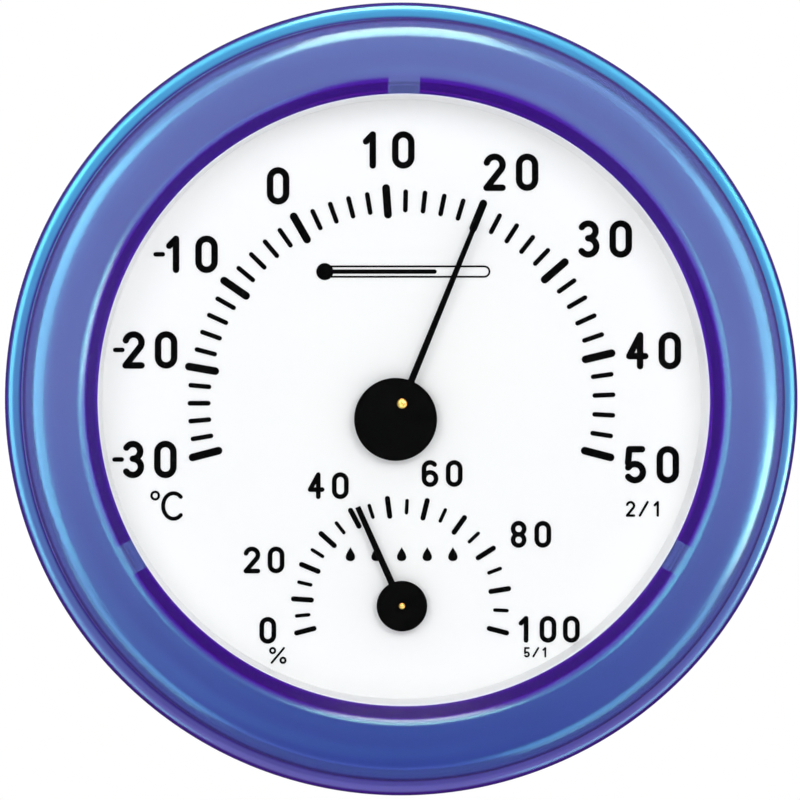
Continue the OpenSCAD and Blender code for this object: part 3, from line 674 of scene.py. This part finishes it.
def makeCaseRing():
    s = ringShape
    boreR = bezelR - bezelShape["wall"]
    spigotR = boreR - s["slip"]
    spigotIn = spigotR - s["spigotWall"]
    sideR = rimR - s["sideStep"]
    recessR = sideR - s["backEdge"] - s["backRim"] + s["slip"]
    ledgeR = recessR - s["ledgeWidth"]
    skirtOut = rimR - bezelShape["width"] + bezelShape["skirtSet"] + bezelShape["skirtWall"]
    half = s["flange"] / 2
    outline = softCorners(
        [(recessR, 0)]
        + arc((sideR - s["backEdge"], s["backEdge"]), s["backEdge"], -90, 0, 16)
        + [(rimR - half - s["flangeRoot"], jointLevel - s["flange"] - s["flangeRoot"])]
        + arc((rimR - half, jointLevel - half), half, -90, 90, 24)
        + [(spigotR, jointLevel), (spigotR, jointLevel + s["spigot"]), (spigotIn, jointLevel + s["spigot"]),
           (spigotIn, carrierBack), (skirtOut, carrierBack), (skirtOut, carrierBack - s["seat"]),
           (boreR, carrierBack - s["seat"]), (sideR - s["wall"], s["cover"] + s["ledge"]),
           (ledgeR, s["cover"] + s["ledge"]), (ledgeR, s["cover"]), (recessR, s["cover"])],
        s["edge"])
    ring = sweptRing("plain_ring", outline)
    low = jointLevel + s["beadFrom"]
    high = low + s["beadHeight"]
    sunkR, outR = spigotR - s["beadSunk"], spigotR + s["beadOut"]
    ramps = s["beadRamps"]
    bead = softCorners([(sunkR, low), (outR, low + ramps[0]), (outR, high - ramps[1]), (sunkR, high)],
                       s["beadEdge"], 3)
    beaded = grown("case_back_ring", beadTree(), outlineMesh("bead", bead, spigotR), Ring=ring,
                   Count=s["beads"], Radius=spigotR * mm, Sweep=math.radians(s["beadArc"]),
                   Steps=s["beadSteps"])
    bpy.data.objects.remove(ring)
    placed(shaded(beaded), "case_ring", "tinted_back")


surroundShape = {"front": 1.1, "taper": 0.8, "edge": 0.2, "radius": 51}


def makeSurround():
    s = surroundShape
    frontR = s["radius"] - s["front"]
    outline = softCorners([(frontR - s["taper"], dialFace), (s["radius"], dialFace), (s["radius"], lensBack),
                           (frontR, lensBack)], s["edge"])
    placed(shaded(sweptRing("white_surround", outline)), "dial_surround")


makeBezel()
makeCaseRing()
makeSurround()
show("case rings made")


softening = {"merged": 0.002, "flat": 0.5, "from": 30, "steps": 2}  # mm, degrees, degrees


# A CAD node's shape with its loose triangles joined and its edges softened
def softened(name, node, edge, keep=None, finish=None):
    s = softening
    mesh = nodes[node].data.copy()
    work = bmesh.new()
    work.from_mesh(mesh)
    bmesh.ops.remove_doubles(work, verts=work.verts, dist=s["merged"] * mm)
    bmesh.ops.dissolve_limit(work, angle_limit=math.radians(s["flat"]), verts=work.verts, edges=work.edges)
    if keep:
        bmesh.ops.delete(work, geom=[v for island in islands(work) if not keep(island) for v in island])
    work.to_mesh(mesh)
    work.free()
    piece = newObject(name, mesh)
    if edge:
        bevel = piece.modifiers.new("edges", "BEVEL")
        bevel.width = edge * mm
        bevel.segments = s["steps"]
        bevel.limit_method = "ANGLE"
        bevel.angle_limit = math.radians(s["from"])
        bevel.use_clamp_overlap = True
    placed(shaded(piece), node, finish)


# The loose parts of a mesh, as lists of vertices
def islands(work):
    left = set(work.verts)
    found = []
    while left:
        todo = [left.pop()]
        island = list(todo)
        while todo:
            for edge in todo.pop().link_edges:
                for vertex in edge.verts:
                    if vertex in left:
                        left.remove(vertex)
                        todo.append(vertex)
                        island.append(vertex)
        found.append(island)
    return found


# Mouldings and sheet parts: the softness of their edges in mm
softPieces = {
    "lens": {"name": "clear_window", "edge": 0.2},
    "dial_plate": {"name": "white_dial", "edge": 0.15},
    "dial_carrier": {"name": "white_carrier", "edge": 0.25},
    "back_cover": {"name": "rear_cover", "edge": 0.3, "finish": "tinted_back"},
    "hanger_plate": {"name": "keyhole_plate", "edge": 0.15},
    "thermo_yoke": {"name": "thermo_bent_yoke", "edge": 0.3},
    "hygro_yoke": {"name": "hygro_bent_yoke", "edge": 0.3},
    "thermo_regulator": {"name": "thermo_regulator_lever", "edge": 0.12},
    "hygro_regulator": {"name": "hygro_regulator_lever", "edge": 0.12},
    "thermo_pointer": {"name": "thermo_needle", "edge": 0.1},
    "hygro_pointer": {"name": "hygro_needle", "edge": 0.1},
}
for node, piece in softPieces.items():
    softened(piece["name"], node, piece["edge"], finish=piece.get("finish"))
show("mouldings, sheet parts and pointers made")


# A turned part: an outline about its own axis, which stands at a place on the dial
def turned(name, outline, place=(0, 0), edge=0.1, steps=64, slot=None):
    pathR = 3
    mesh = outlineMesh(name, softCorners(outline, edge, 3), pathR)
    piece = grown(name, ringSweep, mesh, PathRadius=pathR * mm, Steps=steps)
    if slot:
        cut = slotCutter(*slot)
        piece.modifiers.new("slot", "BOOLEAN").object = cut
        applied(piece)
        bpy.data.objects.remove(cut)
    piece.data.transform(Matrix.Translation((place[0] * mm, 0, place[1] * mm)))
    return shaded(piece)


# A box that leaves a driver slot across a head, whose outer face lies at a level
def slotCutter(headR, width, level, depth):
    past = 0.5
    low, high = level - past, level + depth
    work = bmesh.new()
    bmesh.ops.create_cube(work, size=1)
    bmesh.ops.scale(work, vec=(2 * (headR + past) * mm, (high - low) * mm, width * mm), verts=work.verts)
    bmesh.ops.translate(work, vec=(0, -(low + high) / 2 * mm, 0), verts=work.verts)
    mesh = bpy.data.meshes.new("slotCutter")
    work.to_mesh(mesh)
    work.free()
    return newObject("slotCutter", mesh)


# Outline of a round end, from the axis out to the side, at the low or the high end of a turned part
def dome(r, level, rise, up):
    points = [(r * math.sin(math.radians(a)), level + (1 if up else -1) * rise * math.cos(math.radians(a)))
              for a in range(0, 91, 15)]
    return points[::-1] if up else points


webBack = 3.4  # the level of the yoke's back
arborShape = {"r": 0.8, "pivotR": 0.6, "pivotCone": 0.35, "point": 0.15, "in": 0.2, "shoulder": 6.2,
              "sleeve": 0.8, "proud": 0.9, "dome": 0.25, "edge": 0.06}
bushShape = {"flange": 3.2, "r": 2.0, "bore": 0.84, "flangeDepth": 0.8, "throughDial": 0.4}
bossShape = {"flange": 3.4, "r": 2.5, "bore": 0.64, "flangeDepth": 0.8, "top": 6.0}
colletShape = {"r": 2.2, "bore": 0.82, "low": 6.2, "high": 9.9, "groove": 0.25,
               "grooveLevels": (1.2, 1.35, 1.55, 1.7), "edge": 0.05}
washerShape = {"r": 4.2, "bore": 2.54, "low": 4.4, "high": 4.8, "dish": 0.08, "edge": 0.05}
adjusterShape = {"r": 1.6, "rivet": 1.1, "low": 0.6, "step": 4.8, "high": 5.9, "out": 4.1, "dome": 0.3,
                 "slotWidth": 0.6, "slotDepth": 0.8, "edge": 0.15}
pinShape = {"r": 0.5, "low": 4.8, "high": 9.4, "out": 0.75, "dome": 0.2, "edge": 0.05, "steps": 32}


def makeTurnedParts(movement, axis, coilR, tipR, rise):
    def put(part, label, outline, place=axis, **options):
        placed(turned(movement + "_" + label, outline, place, **options), movement + "_" + part)

    # A flanged bearing, whose flange lies at the back of a sheet
    def bearing(part, label, s, sheet, top):
        flange = sheet - s["flangeDepth"]
        put(part, label, [(s["bore"], flange), (s["flange"], flange), (s["flange"], sheet), (s["r"], sheet),
                          (s["r"], top), (s["bore"], top)])

    s = arborShape
    sleeve = dialFace + rise - s["sleeve"]
    tip = sleeve + s["sleeve"] + s["proud"]
    low = webBack - bossShape["flangeDepth"] + s["in"]
    put("arbor", "shaft",
        [(0, low), (s["point"], low), (s["pivotR"], low + s["pivotCone"]), (s["pivotR"], s["shoulder"]),
         (s["r"], s["shoulder"]), (s["r"], sleeve), (tipR, sleeve)]
        + dome(tipR, tip - s["dome"], s["dome"], True), edge=s["edge"])

    bearing("front_bush", "front_bearing", bushShape, carrierBack, dialBack + bushShape["throughDial"])
    bearing("rear_bush", "rear_bearing", bossShape, webBack, bossShape["top"])

    s = colletShape
    middle = (s["low"] + s["high"]) / 2
    a, b, c, d = (middle + level for level in s["grooveLevels"])
    neck = s["r"] - s["groove"]
    put("collet", "coil_collet",
        [(s["bore"], s["low"]), (s["r"], s["low"]), (s["r"], a), (neck, b), (neck, c), (s["r"], d),
         (s["r"], s["high"]), (s["bore"], s["high"])], edge=s["edge"])

    s = washerShape
    put("friction_washer", "spring_washer",
        [(s["bore"], s["low"]), (s["r"], s["low"] + s["dish"]), (s["r"], s["high"]),
         (s["bore"], s["high"] - s["dish"])], edge=s["edge"])

    s = adjusterShape
    put("adjuster", "setting_stud",
        [(0, s["low"]), (s["r"], s["low"]), (s["r"], s["step"]), (s["rivet"], s["step"])]
        + dome(s["rivet"], s["high"] - s["dome"], s["dome"], True),
        place=(axis[0], axis[1] - coilR - s["out"]), edge=s["edge"],
        slot=(s["r"], s["slotWidth"], s["low"], s["slotDepth"]))

    s = pinShape
    put("anchor_pin", "coil_anchor_pin",
        [(0, s["low"]), (s["r"], s["low"])] + dome(s["r"], s["high"] - s["dome"], s["dome"], True),
        place=(axis[0], axis[1] - coilR - s["out"]), edge=s["edge"], steps=s["steps"])


for movement, m in movements.items():
    makeTurnedParts(movement, m["axis"], m["coilR"], m["tipR"], m["rise"])
show("turned parts made")


# Copies of one template at the points of a mesh, each turned about the dial's axis by a seeded angle
def scatterTree():
    tree, given = geometryTree("fasteners", [("Template", "Object"), ("Turn", "Float"), ("Seed", "Int")])
    spots = tree.add("GeometryNodeMeshToPoints", None, {"Mesh": given["Geometry"]})
    turn = tree.add("FunctionNodeRandomValue", {"data_type": "FLOAT"}, {
        2: 0.0, 3: given["Turn"], "Seed": given["Seed"]}, 1)
    template = tree.add("GeometryNodeObjectInfo", None, {"Object": given["Template"]})
    return endTree(tree, copied(tree, spots, tree.output(template, "Geometry"), {"Y": turn}))


scatter = scatterTree()


def scattered(name, node, template, places, turn, seed):
    spots = bpy.data.meshes.new(name + ".spots")
    spots.from_pydata([(x * mm, 0, y * mm) for x, y in places], [], [])
    piece = grown(name, scatter, spots, Template=template, Turn=turn, Seed=seed)
    bpy.data.objects.remove(template)
    placed(shaded(piece), node)


coverScrew = {"head": 2.6, "headHeight": 1.0, "shank": 1.35, "length": 7.8, "level": 0.2, "place": 31.8,
              "slot": 0.6, "thread": 0.18, "pitch": 0.7, "seed": 4, "steps": 48}
yokeScrew = {"head": 1.7, "headHeight": 0.9, "shank": 0.95, "length": 2.5, "slot": 0.6, "thread": 0.12,
             "pitch": 0.45, "seed": 9, "feet": 6.9, "foot": 1, "steps": 40}
screwEnds = {"dome": 0.45, "neck": 0.4, "runOut": 0.3, "tip": 0.25, "edge": 0.02}
rivetShape = {"head": 1.8, "headHeight": 0.6, "dome": 0.8, "shank": 1.1, "tailHeight": 0.4, "tailSide": 0.15,
              "low": 0.4, "joint": 3.5, "place": 8.6, "height": 33, "edge": 0.03, "steps": 40}


# A slotted screw whose domed head lies at the low end, with a rolled thread
def screw(name, s, level):
    e = screwEnds
    under = level + s["headHeight"]
    end = under + s["length"]
    rise = e["dome"] * s["headHeight"]
    outline = dome(s["head"], level + rise, rise, False) + [(s["head"], under), (s["shank"], under)]
    z = under + e["neck"]
    while z + s["pitch"] < end - e["runOut"]:
        outline += [(s["shank"], z), (s["shank"] - s["thread"], z + s["pitch"] / 2)]
        z += s["pitch"]
    outline += [(s["shank"], z), (s["shank"], end - e["tip"]), (s["shank"] - e["tip"], end), (0, end)]
    return turned(name, outline, edge=e["edge"], steps=s["steps"],
                  slot=(s["head"], s["slot"], level, s["headHeight"] / 2))


def makeScrews():
    s = coverScrew
    corners = [(x * s["place"], y * s["place"]) for x in (-1, 1) for y in (-1, 1)]
    template = screw("coverScrew", s, s["level"])
    scattered("rear_cover_screws", "cover_screws", template, corners, math.pi, s["seed"])
    s = yokeScrew
    for movement, m in movements.items():
        out, up = m["coilR"] + s["feet"], m["axis"][1]
        template = screw(movement + "Screw", s, carrierBack - s["foot"] - s["headHeight"])
        scattered(movement + "_bracket_screws", movement + "_yoke_screws", template, [(-out, up), (out, up)],
                  math.pi, s["seed"])


def makeRivets():
    s = rivetShape
    under, joint = s["low"] + s["headHeight"], s["joint"]
    rise = s["headHeight"] * s["dome"]
    outline = dome(s["head"], s["low"] + rise, rise, False)
    outline += [(s["head"], under), (s["shank"], under), (s["shank"], joint), (s["head"], joint)]
    outline += dome(s["head"], joint + s["tailSide"], s["tailHeight"] - s["tailSide"], True)
    template = turned("rivet", outline, edge=s["edge"], steps=s["steps"])
    scattered("keyhole_plate_rivets", "hanger_rivets", template,
              [(-s["place"], s["height"]), (s["place"], s["height"])], 0.0, 1)


makeScrews()
makeRivets()
show("fasteners made")


# A flat spiral strip between two radii, wound so that its outer end lies straight below the axis
def coilTree():
    tree, given = geometryTree("coil", [
        ("Inner Radius", "Float"), ("Outer Radius", "Float"), ("Turns", "Float"), ("Steps", "Int"),
        ("Place", "Vector")])
    path = tree.add("GeometryNodeCurveSpiral", None, {
        "Resolution": given["Steps"], "Rotations": given["Turns"], "Start Radius": given["Inner Radius"],
        "End Radius": given["Outer Radius"], "Height": 0.0, "Reverse": True})
    hung = moved(tree, sweptAlong(tree, given, path, True), (0, 0, -math.pi / 2))
    return endTree(tree, moved(tree, hung, (math.pi / 2, 0, 0), given["Place"]))


spiralSweep = coilTree()
coilShape = {"thick": 0.35, "wide": 3.0, "low": 6.2, "inner": 2.395, "edge": 0.08, "stepsPerTurn": 72}


def makeCoil(name, node, axis, outer, turns):
    s = coilShape
    x, y = s["thick"] / 2, s["wide"] / 2
    outline = softCorners([(-x, -y), (x, -y), (x, y), (-x, y)], s["edge"], 2)
    piece = grown(name, spiralSweep, outlineMesh(name, outline, 0), InnerRadius=s["inner"] * mm,
                  OuterRadius=outer * mm, Turns=turns, Steps=s["stepsPerTurn"],
                  Place=(axis[0] * mm, -(s["low"] + y) * mm, axis[1] * mm))
    placed(shaded(piece), node)


for m in movements.values():
    makeCoil(m["coil"] + "_spiral", m["coil"] + "_coil", m["axis"], m["coilR"], m["turns"])
show("coils made")


markEnd = {"steps": 5, "radius": 0.499}  # the radius is a share of the width


# A thin bar with round ends, built flat and standing on level 0
def barNodes(tree, size):
    width, length, height = tree.parted(size)
    edge = tree.add("GeometryNodeCurvePrimitiveQuadrilateral", {"mode": "RECTANGLE"}, {
        "Width": width, "Height": length})
    edge = tree.add("GeometryNodeFilletCurve", {"mode": "POLY"}, {
        "Curve": edge, "Count": markEnd["steps"], "Radius": width * markEnd["radius"]})
    flat = tree.add("GeometryNodeFillCurve", {"mode": "NGONS"}, {"Curve": edge})
    top = tree.add("GeometryNodeExtrudeMesh", None, {
        "Mesh": flat, "Offset Scale": height, "Individual": False})
    under = tree.add("GeometryNodeFlipFaces", None, {"Mesh": flat})
    both = tree.add("GeometryNodeJoinGeometry")
    for part in (top, under):
        tree.tree.links.new(part.out, both.out.node.inputs[0])
    return tree.add("GeometryNodeMergeByDistance", None, {"Geometry": both, "Distance": mergeWithin})


# The marks of a scale. Mark number i reads first + i * step, and stands at a + b * reading + c * reading
# squared degrees clockwise from the top by the law (a, b, c). Every mark whose number is a multiple of the
# group is long.
def scaleTree():
    tree, given = geometryTree("scaleMarks", [
        ("Count", "Int"), ("First", "Float"), ("Step", "Float"), ("Group", "Int"), ("Law", "Vector"),
        ("Radius", "Float"), ("Long", "Vector"), ("Short", "Vector"), ("Place", "Vector")])
    number = tree.add("GeometryNodeInputIndex")
    reading = given["First"] + number * given["Step"]
    a, b, c = tree.parted(given["Law"])
    turn = (a + b * reading + c * (reading * reading)) * (math.pi / 180)
    spots = spotsAt(tree, given["Count"], {
        "X": turn.math("SINE", turn) * given["Radius"], "Y": turn.math("COSINE", turn) * given["Radius"]})
    rest = number.math("MODULO", number, given["Group"])
    marks = tree.add("GeometryNodeJoinGeometry")
    for size, test in (("Long", "LESS_THAN"), ("Short", "GREATER_THAN")):
        mark = barNodes(tree, given[size])
        copies = copied(tree, spots, mark, {"Z": turn * -1}, rest.math(test, rest, 0.5))
        tree.tree.links.new(copies.out, marks.out.node.inputs[0])
    return endTree(tree, moved(tree, marks, (math.pi / 2, 0, 0), given["Place"]))


scaleMarks = scaleTree()

# The sizes of a long and a short mark are width, length and thickness
scales = [
    {"name": "temperature_marks", "figures": "temperature_figures", "node": "temperature_scale",
     "axis": thermoAxis, "count": 41, "first": -30.0, "step": 2.0, "group": 5, "law": (-30.0, 2.56, 0.0026),
     "radius": 33.2, "long": (1.28, 5.65, 0.1), "short": (0.77, 3.77, 0.1)},
    {"name": "humidity_marks", "figures": "humidity_figures", "node": "humidity_scale",
     "axis": hygroAxis, "count": 21, "first": 0.0, "step": 5.0, "group": 2, "law": (-104.4, 1.786, 0.003023),
     "radius": 16.3, "long": (0.84, 3.77, 0.1), "short": (0.59, 2.57, 0.1)},
]
markReach = 0.6  # how far the middle of a mark may lie from the marks' circle


def makeScale(s):
    x, y = s["axis"]

    def isFigure(island):
        middle = sum((v.co for v in island), Vector()) / len(island) / mm
        return abs(math.hypot(middle.x - x, middle.z - y) - s["radius"]) > markReach

    marks = grown(
        s["name"], scaleMarks, bpy.data.meshes.new(s["name"]), Count=s["count"], First=s["first"],
        Step=s["step"], Group=s["group"], Law=s["law"], Radius=s["radius"] * mm,
        Long=[v * mm for v in s["long"]], Short=[v * mm for v in s["short"]],
        Place=(x * mm, -dialFace * mm, y * mm))
    placed(shaded(marks), s["node"])
    softened(s["figures"], s["node"], 0, keep=isFigure)


for scale in scales:
    makeScale(scale)
show("scales made")


# Camera, lamps and world

view = {
    "distance": 6.0, "side": -1.7, "up": 0.6, "level": 12.5, "rimPixels": 396.5, "centre": (401.3, 399.0),
    "picture": 800, "sensor": 36, "reach": 50,
}


def makeCamera():
    data = bpy.data.cameras.new("camera")
    camera = bpy.data.objects.new("camera", data)
    bpy.context.scene.collection.objects.link(camera)
    bpy.context.scene.camera = camera
    aim = Vector((0, -view["level"] * mm, 0))
    side, up = math.radians(view["side"]), math.radians(view["up"])
    away = Vector((math.sin(side) * math.cos(up), -math.cos(side) * math.cos(up), math.sin(up)))
    camera.location = aim + away * view["distance"]
    camera.rotation_euler = (-away).to_track_quat("-Z", "Y").to_euler()
    pixels = view["picture"]
    perPixel = rimR * mm / view["rimPixels"] / view["distance"]
    data.sensor_fit = "AUTO"
    data.sensor_width = view["sensor"]
    data.lens = data.sensor_width / (pixels * perPixel)
    data.shift_x = -(view["centre"][0] - pixels / 2) / pixels
    data.shift_y = (view["centre"][1] - pixels / 2) / pixels
    data.clip_end = view["reach"]


# Lamps by their turn from the dial's own direction, their place round the rim as on a clock in degrees, and
# their radiance. The first three light the dial. The boxes only show in what is glossy, and the one behind
# in metal. The reddish ones mirror white in the cyan gloss of the plastic.
reddish = (1, 0.42, 0.33)
lampUsual = {"far": 1.2, "box": True, "shows": "glossy", "colour": (1, 1, 1)}
lamps = [
    {"name": "key", "turn": 22, "round": 40, "far": 1.5, "size": (0.6, 0.6), "bright": 5.0, "box": False},
    {"name": "fill", "turn": 22, "round": 200, "far": 1.5, "size": (0.6, 0.6), "bright": 2.8, "box": False},
    {"name": "sideFill", "turn": 26, "round": 305, "far": 1.5, "size": (0.6, 0.6), "bright": 3.6,
     "box": False},
    {"name": "top", "turn": 58, "round": 1, "size": (0.6, 0.9), "bright": 62, "colour": reddish},
    {"name": "window", "turn": 57, "round": 105, "size": (0.42, 0.65), "bright": 52, "colour": reddish},
    {"name": "right", "turn": 53, "round": 84, "size": (1.0, 1.15), "bright": 11},
    {"name": "left", "turn": 47, "round": 280, "size": (1.2, 1.0), "bright": 11},
    {"name": "upperLeft", "turn": 53, "round": 318, "size": (0.8, 1.1), "bright": 5},
    {"name": "upperRight", "turn": 54, "round": 40, "size": (0.8, 0.9), "bright": 3},
    {"name": "lowerRight", "turn": 62, "round": 142, "far": 0.5, "size": (0.32, 0.3), "bright": 6},
    {"name": "lowerLeft", "turn": 62, "round": 228, "far": 0.5, "size": (0.3, 0.3), "bright": 5},
    {"name": "behind", "turn": 180, "round": 0, "size": (2.6, 2.6), "bright": 0.95, "shows": "metal"},
]
showsIn = {
    "glossy": ("tinted_plastic", "tinted_back", "brass", "thermo_brass", "hygro_brass"),
    "metal": ("zinc_steel", "brass", "thermo_brass", "hygro_brass", "bimetal_strip", "humidity_strip"),
}
room = {"ambient": 0.7, "shown": 1.0, "dark": 0.0, "mirrored": 0.06, "slope": 1.25, "middle": 0.45}


# The pieces that a box shows in
def piecesOf(kind):
    chosen = bpy.data.collections.new(kind)
    materials = [finishes[name] for name in showsIn[kind]]
    for piece in bpy.data.objects:
        if piece.type == "MESH" and any(m in materials for m in piece.data.materials):
            chosen.objects.link(piece)
    return chosen


def makeLamps():
    chosen = {kind: piecesOf(kind) for kind in showsIn}
    aim = Vector((0, -view["level"] * mm, 0))
    for lamp in lamps:
        s = {**lampUsual, **lamp}
        data = bpy.data.lights.new(s["name"], "AREA")
        data.shape = "RECTANGLE"
        data.size, data.size_y = s["size"]
        data.color = s["colour"]
        data.energy = s["bright"] * math.pi * s["size"][0] * s["size"][1]
        turn, place = math.radians(s["turn"]), math.radians(s["round"])
        away = Vector((math.sin(turn) * math.sin(place), -math.cos(turn), math.sin(turn) * math.cos(place)))
        across = Vector((math.cos(place), 0, -math.sin(place)))
        box = bpy.data.objects.new(s["name"], data)
        axes = Matrix((across, away.cross(across), away)).transposed()
        box.matrix_world = Matrix.Translation(aim + away * s["far"]) @ axes.to_4x4()
        box.visible_diffuse = not s["box"]
        box.visible_glossy = s["box"]
        box.visible_camera = False
        if s["box"]:
            box.light_linking.receiver_collection = chosen[s["shows"]]
        bpy.context.scene.collection.objects.link(box)


# White for what is seen straight or through glass, dark on the camera's side for what is mirrored, and a
# plain light for all else
def makeWorld():
    world = bpy.data.worlds.new("studio")
    world.use_nodes = True
    world.node_tree.nodes.clear()
    tree = Tree(world.node_tree)
    bpy.context.scene.world = world
    rays = tree.add("ShaderNodeLightPath")
    seen = rays
    for name in ("Is Glossy Ray", "Is Transmission Ray"):
        seen = seen.math("MAXIMUM", seen, tree.output(rays, name))
    seen = seen * seen.math("LESS_THAN", tree.output(rays, "Diffuse Depth"), 0.5)
    mirrored = rays.math("GREATER_THAN", tree.output(rays, "Glossy Depth"), 0.5)
    depth = tree.parted(tree.add("ShaderNodeTexCoord", out="Generated"))[1]
    behind = (depth * room["slope"] + room["middle"]).clipped(room["dark"], 1) * room["mirrored"]
    strength = seen * (mirrored * behind + (1 - mirrored) * room["shown"]) + (1 - seen) * room["ambient"]
    light = tree.add("ShaderNodeBackground", None, {"Color": grey(1), "Strength": strength})
    tree.add("ShaderNodeOutputWorld", None, {"Surface": light})


floorShape = {
    "radius": 1.1, "level": -0.45, "sides": 96, "fadeFrom": 0.15, "fadeOver": 0.5,
    "shades": (grey(0.84), grey(0.87)), "cloud": (60, 3.0), "rough": 0.7, "shine": 0.1,
}


# A pale disc below the object, in metres, which fades into the white round it
def makeFloor():
    s = floorShape
    turns = [2 * math.pi * i / s["sides"] for i in range(s["sides"])]
    mesh = bpy.data.meshes.new("floor")
    mesh.from_pydata([(s["radius"] * math.cos(a), s["radius"] * math.sin(a), s["level"]) for a in turns],
                     [], [tuple(range(s["sides"]))])
    floor = newObject("floor", mesh)
    paint = Paint("floor")
    x, y, _ = paint.parted(paint.place)
    reach = (x * x + y ** 2) ** 0.5
    plain = paint.principled(
        Base_Color=paint.colours(*s["shades"], paint.noise(*s["cloud"])), Roughness=s["rough"],
        Specular_IOR_Level=s["shine"])
    white = paint.add("ShaderNodeEmission", None, {"Color": grey(1), "Strength": 1.0})
    camera = paint.add("ShaderNodeLightPath")
    fade = ((reach - s["fadeFrom"]) / s["fadeOver"]).clipped(0, 1) * camera
    pale = paint.add("ShaderNodeMixShader", None, {0: fade, 1: plain, 2: white})
    under = paint.output(paint.add("ShaderNodeNewGeometry"), "Backfacing")
    clear = paint.add("ShaderNodeBsdfTransparent")
    mesh.materials.append(paint.done(paint.add("ShaderNodeMixShader", None, {0: under, 1: pale, 2: clear})))
    floor.visible_glossy = False  # the rim's lower side stays as dark as in the photo


def makeBounces():
    cycles = bpy.context.scene.cycles
    cycles.max_bounces = 20
    cycles.transmission_bounces = 16
    cycles.transparent_max_bounces = 24


makeCamera()
makeLamps()
makeWorld()
makeFloor()
makeBounces()
bpy.context.scene.view_settings.view_transform = "Standard"
show("camera, lamps and floor set")
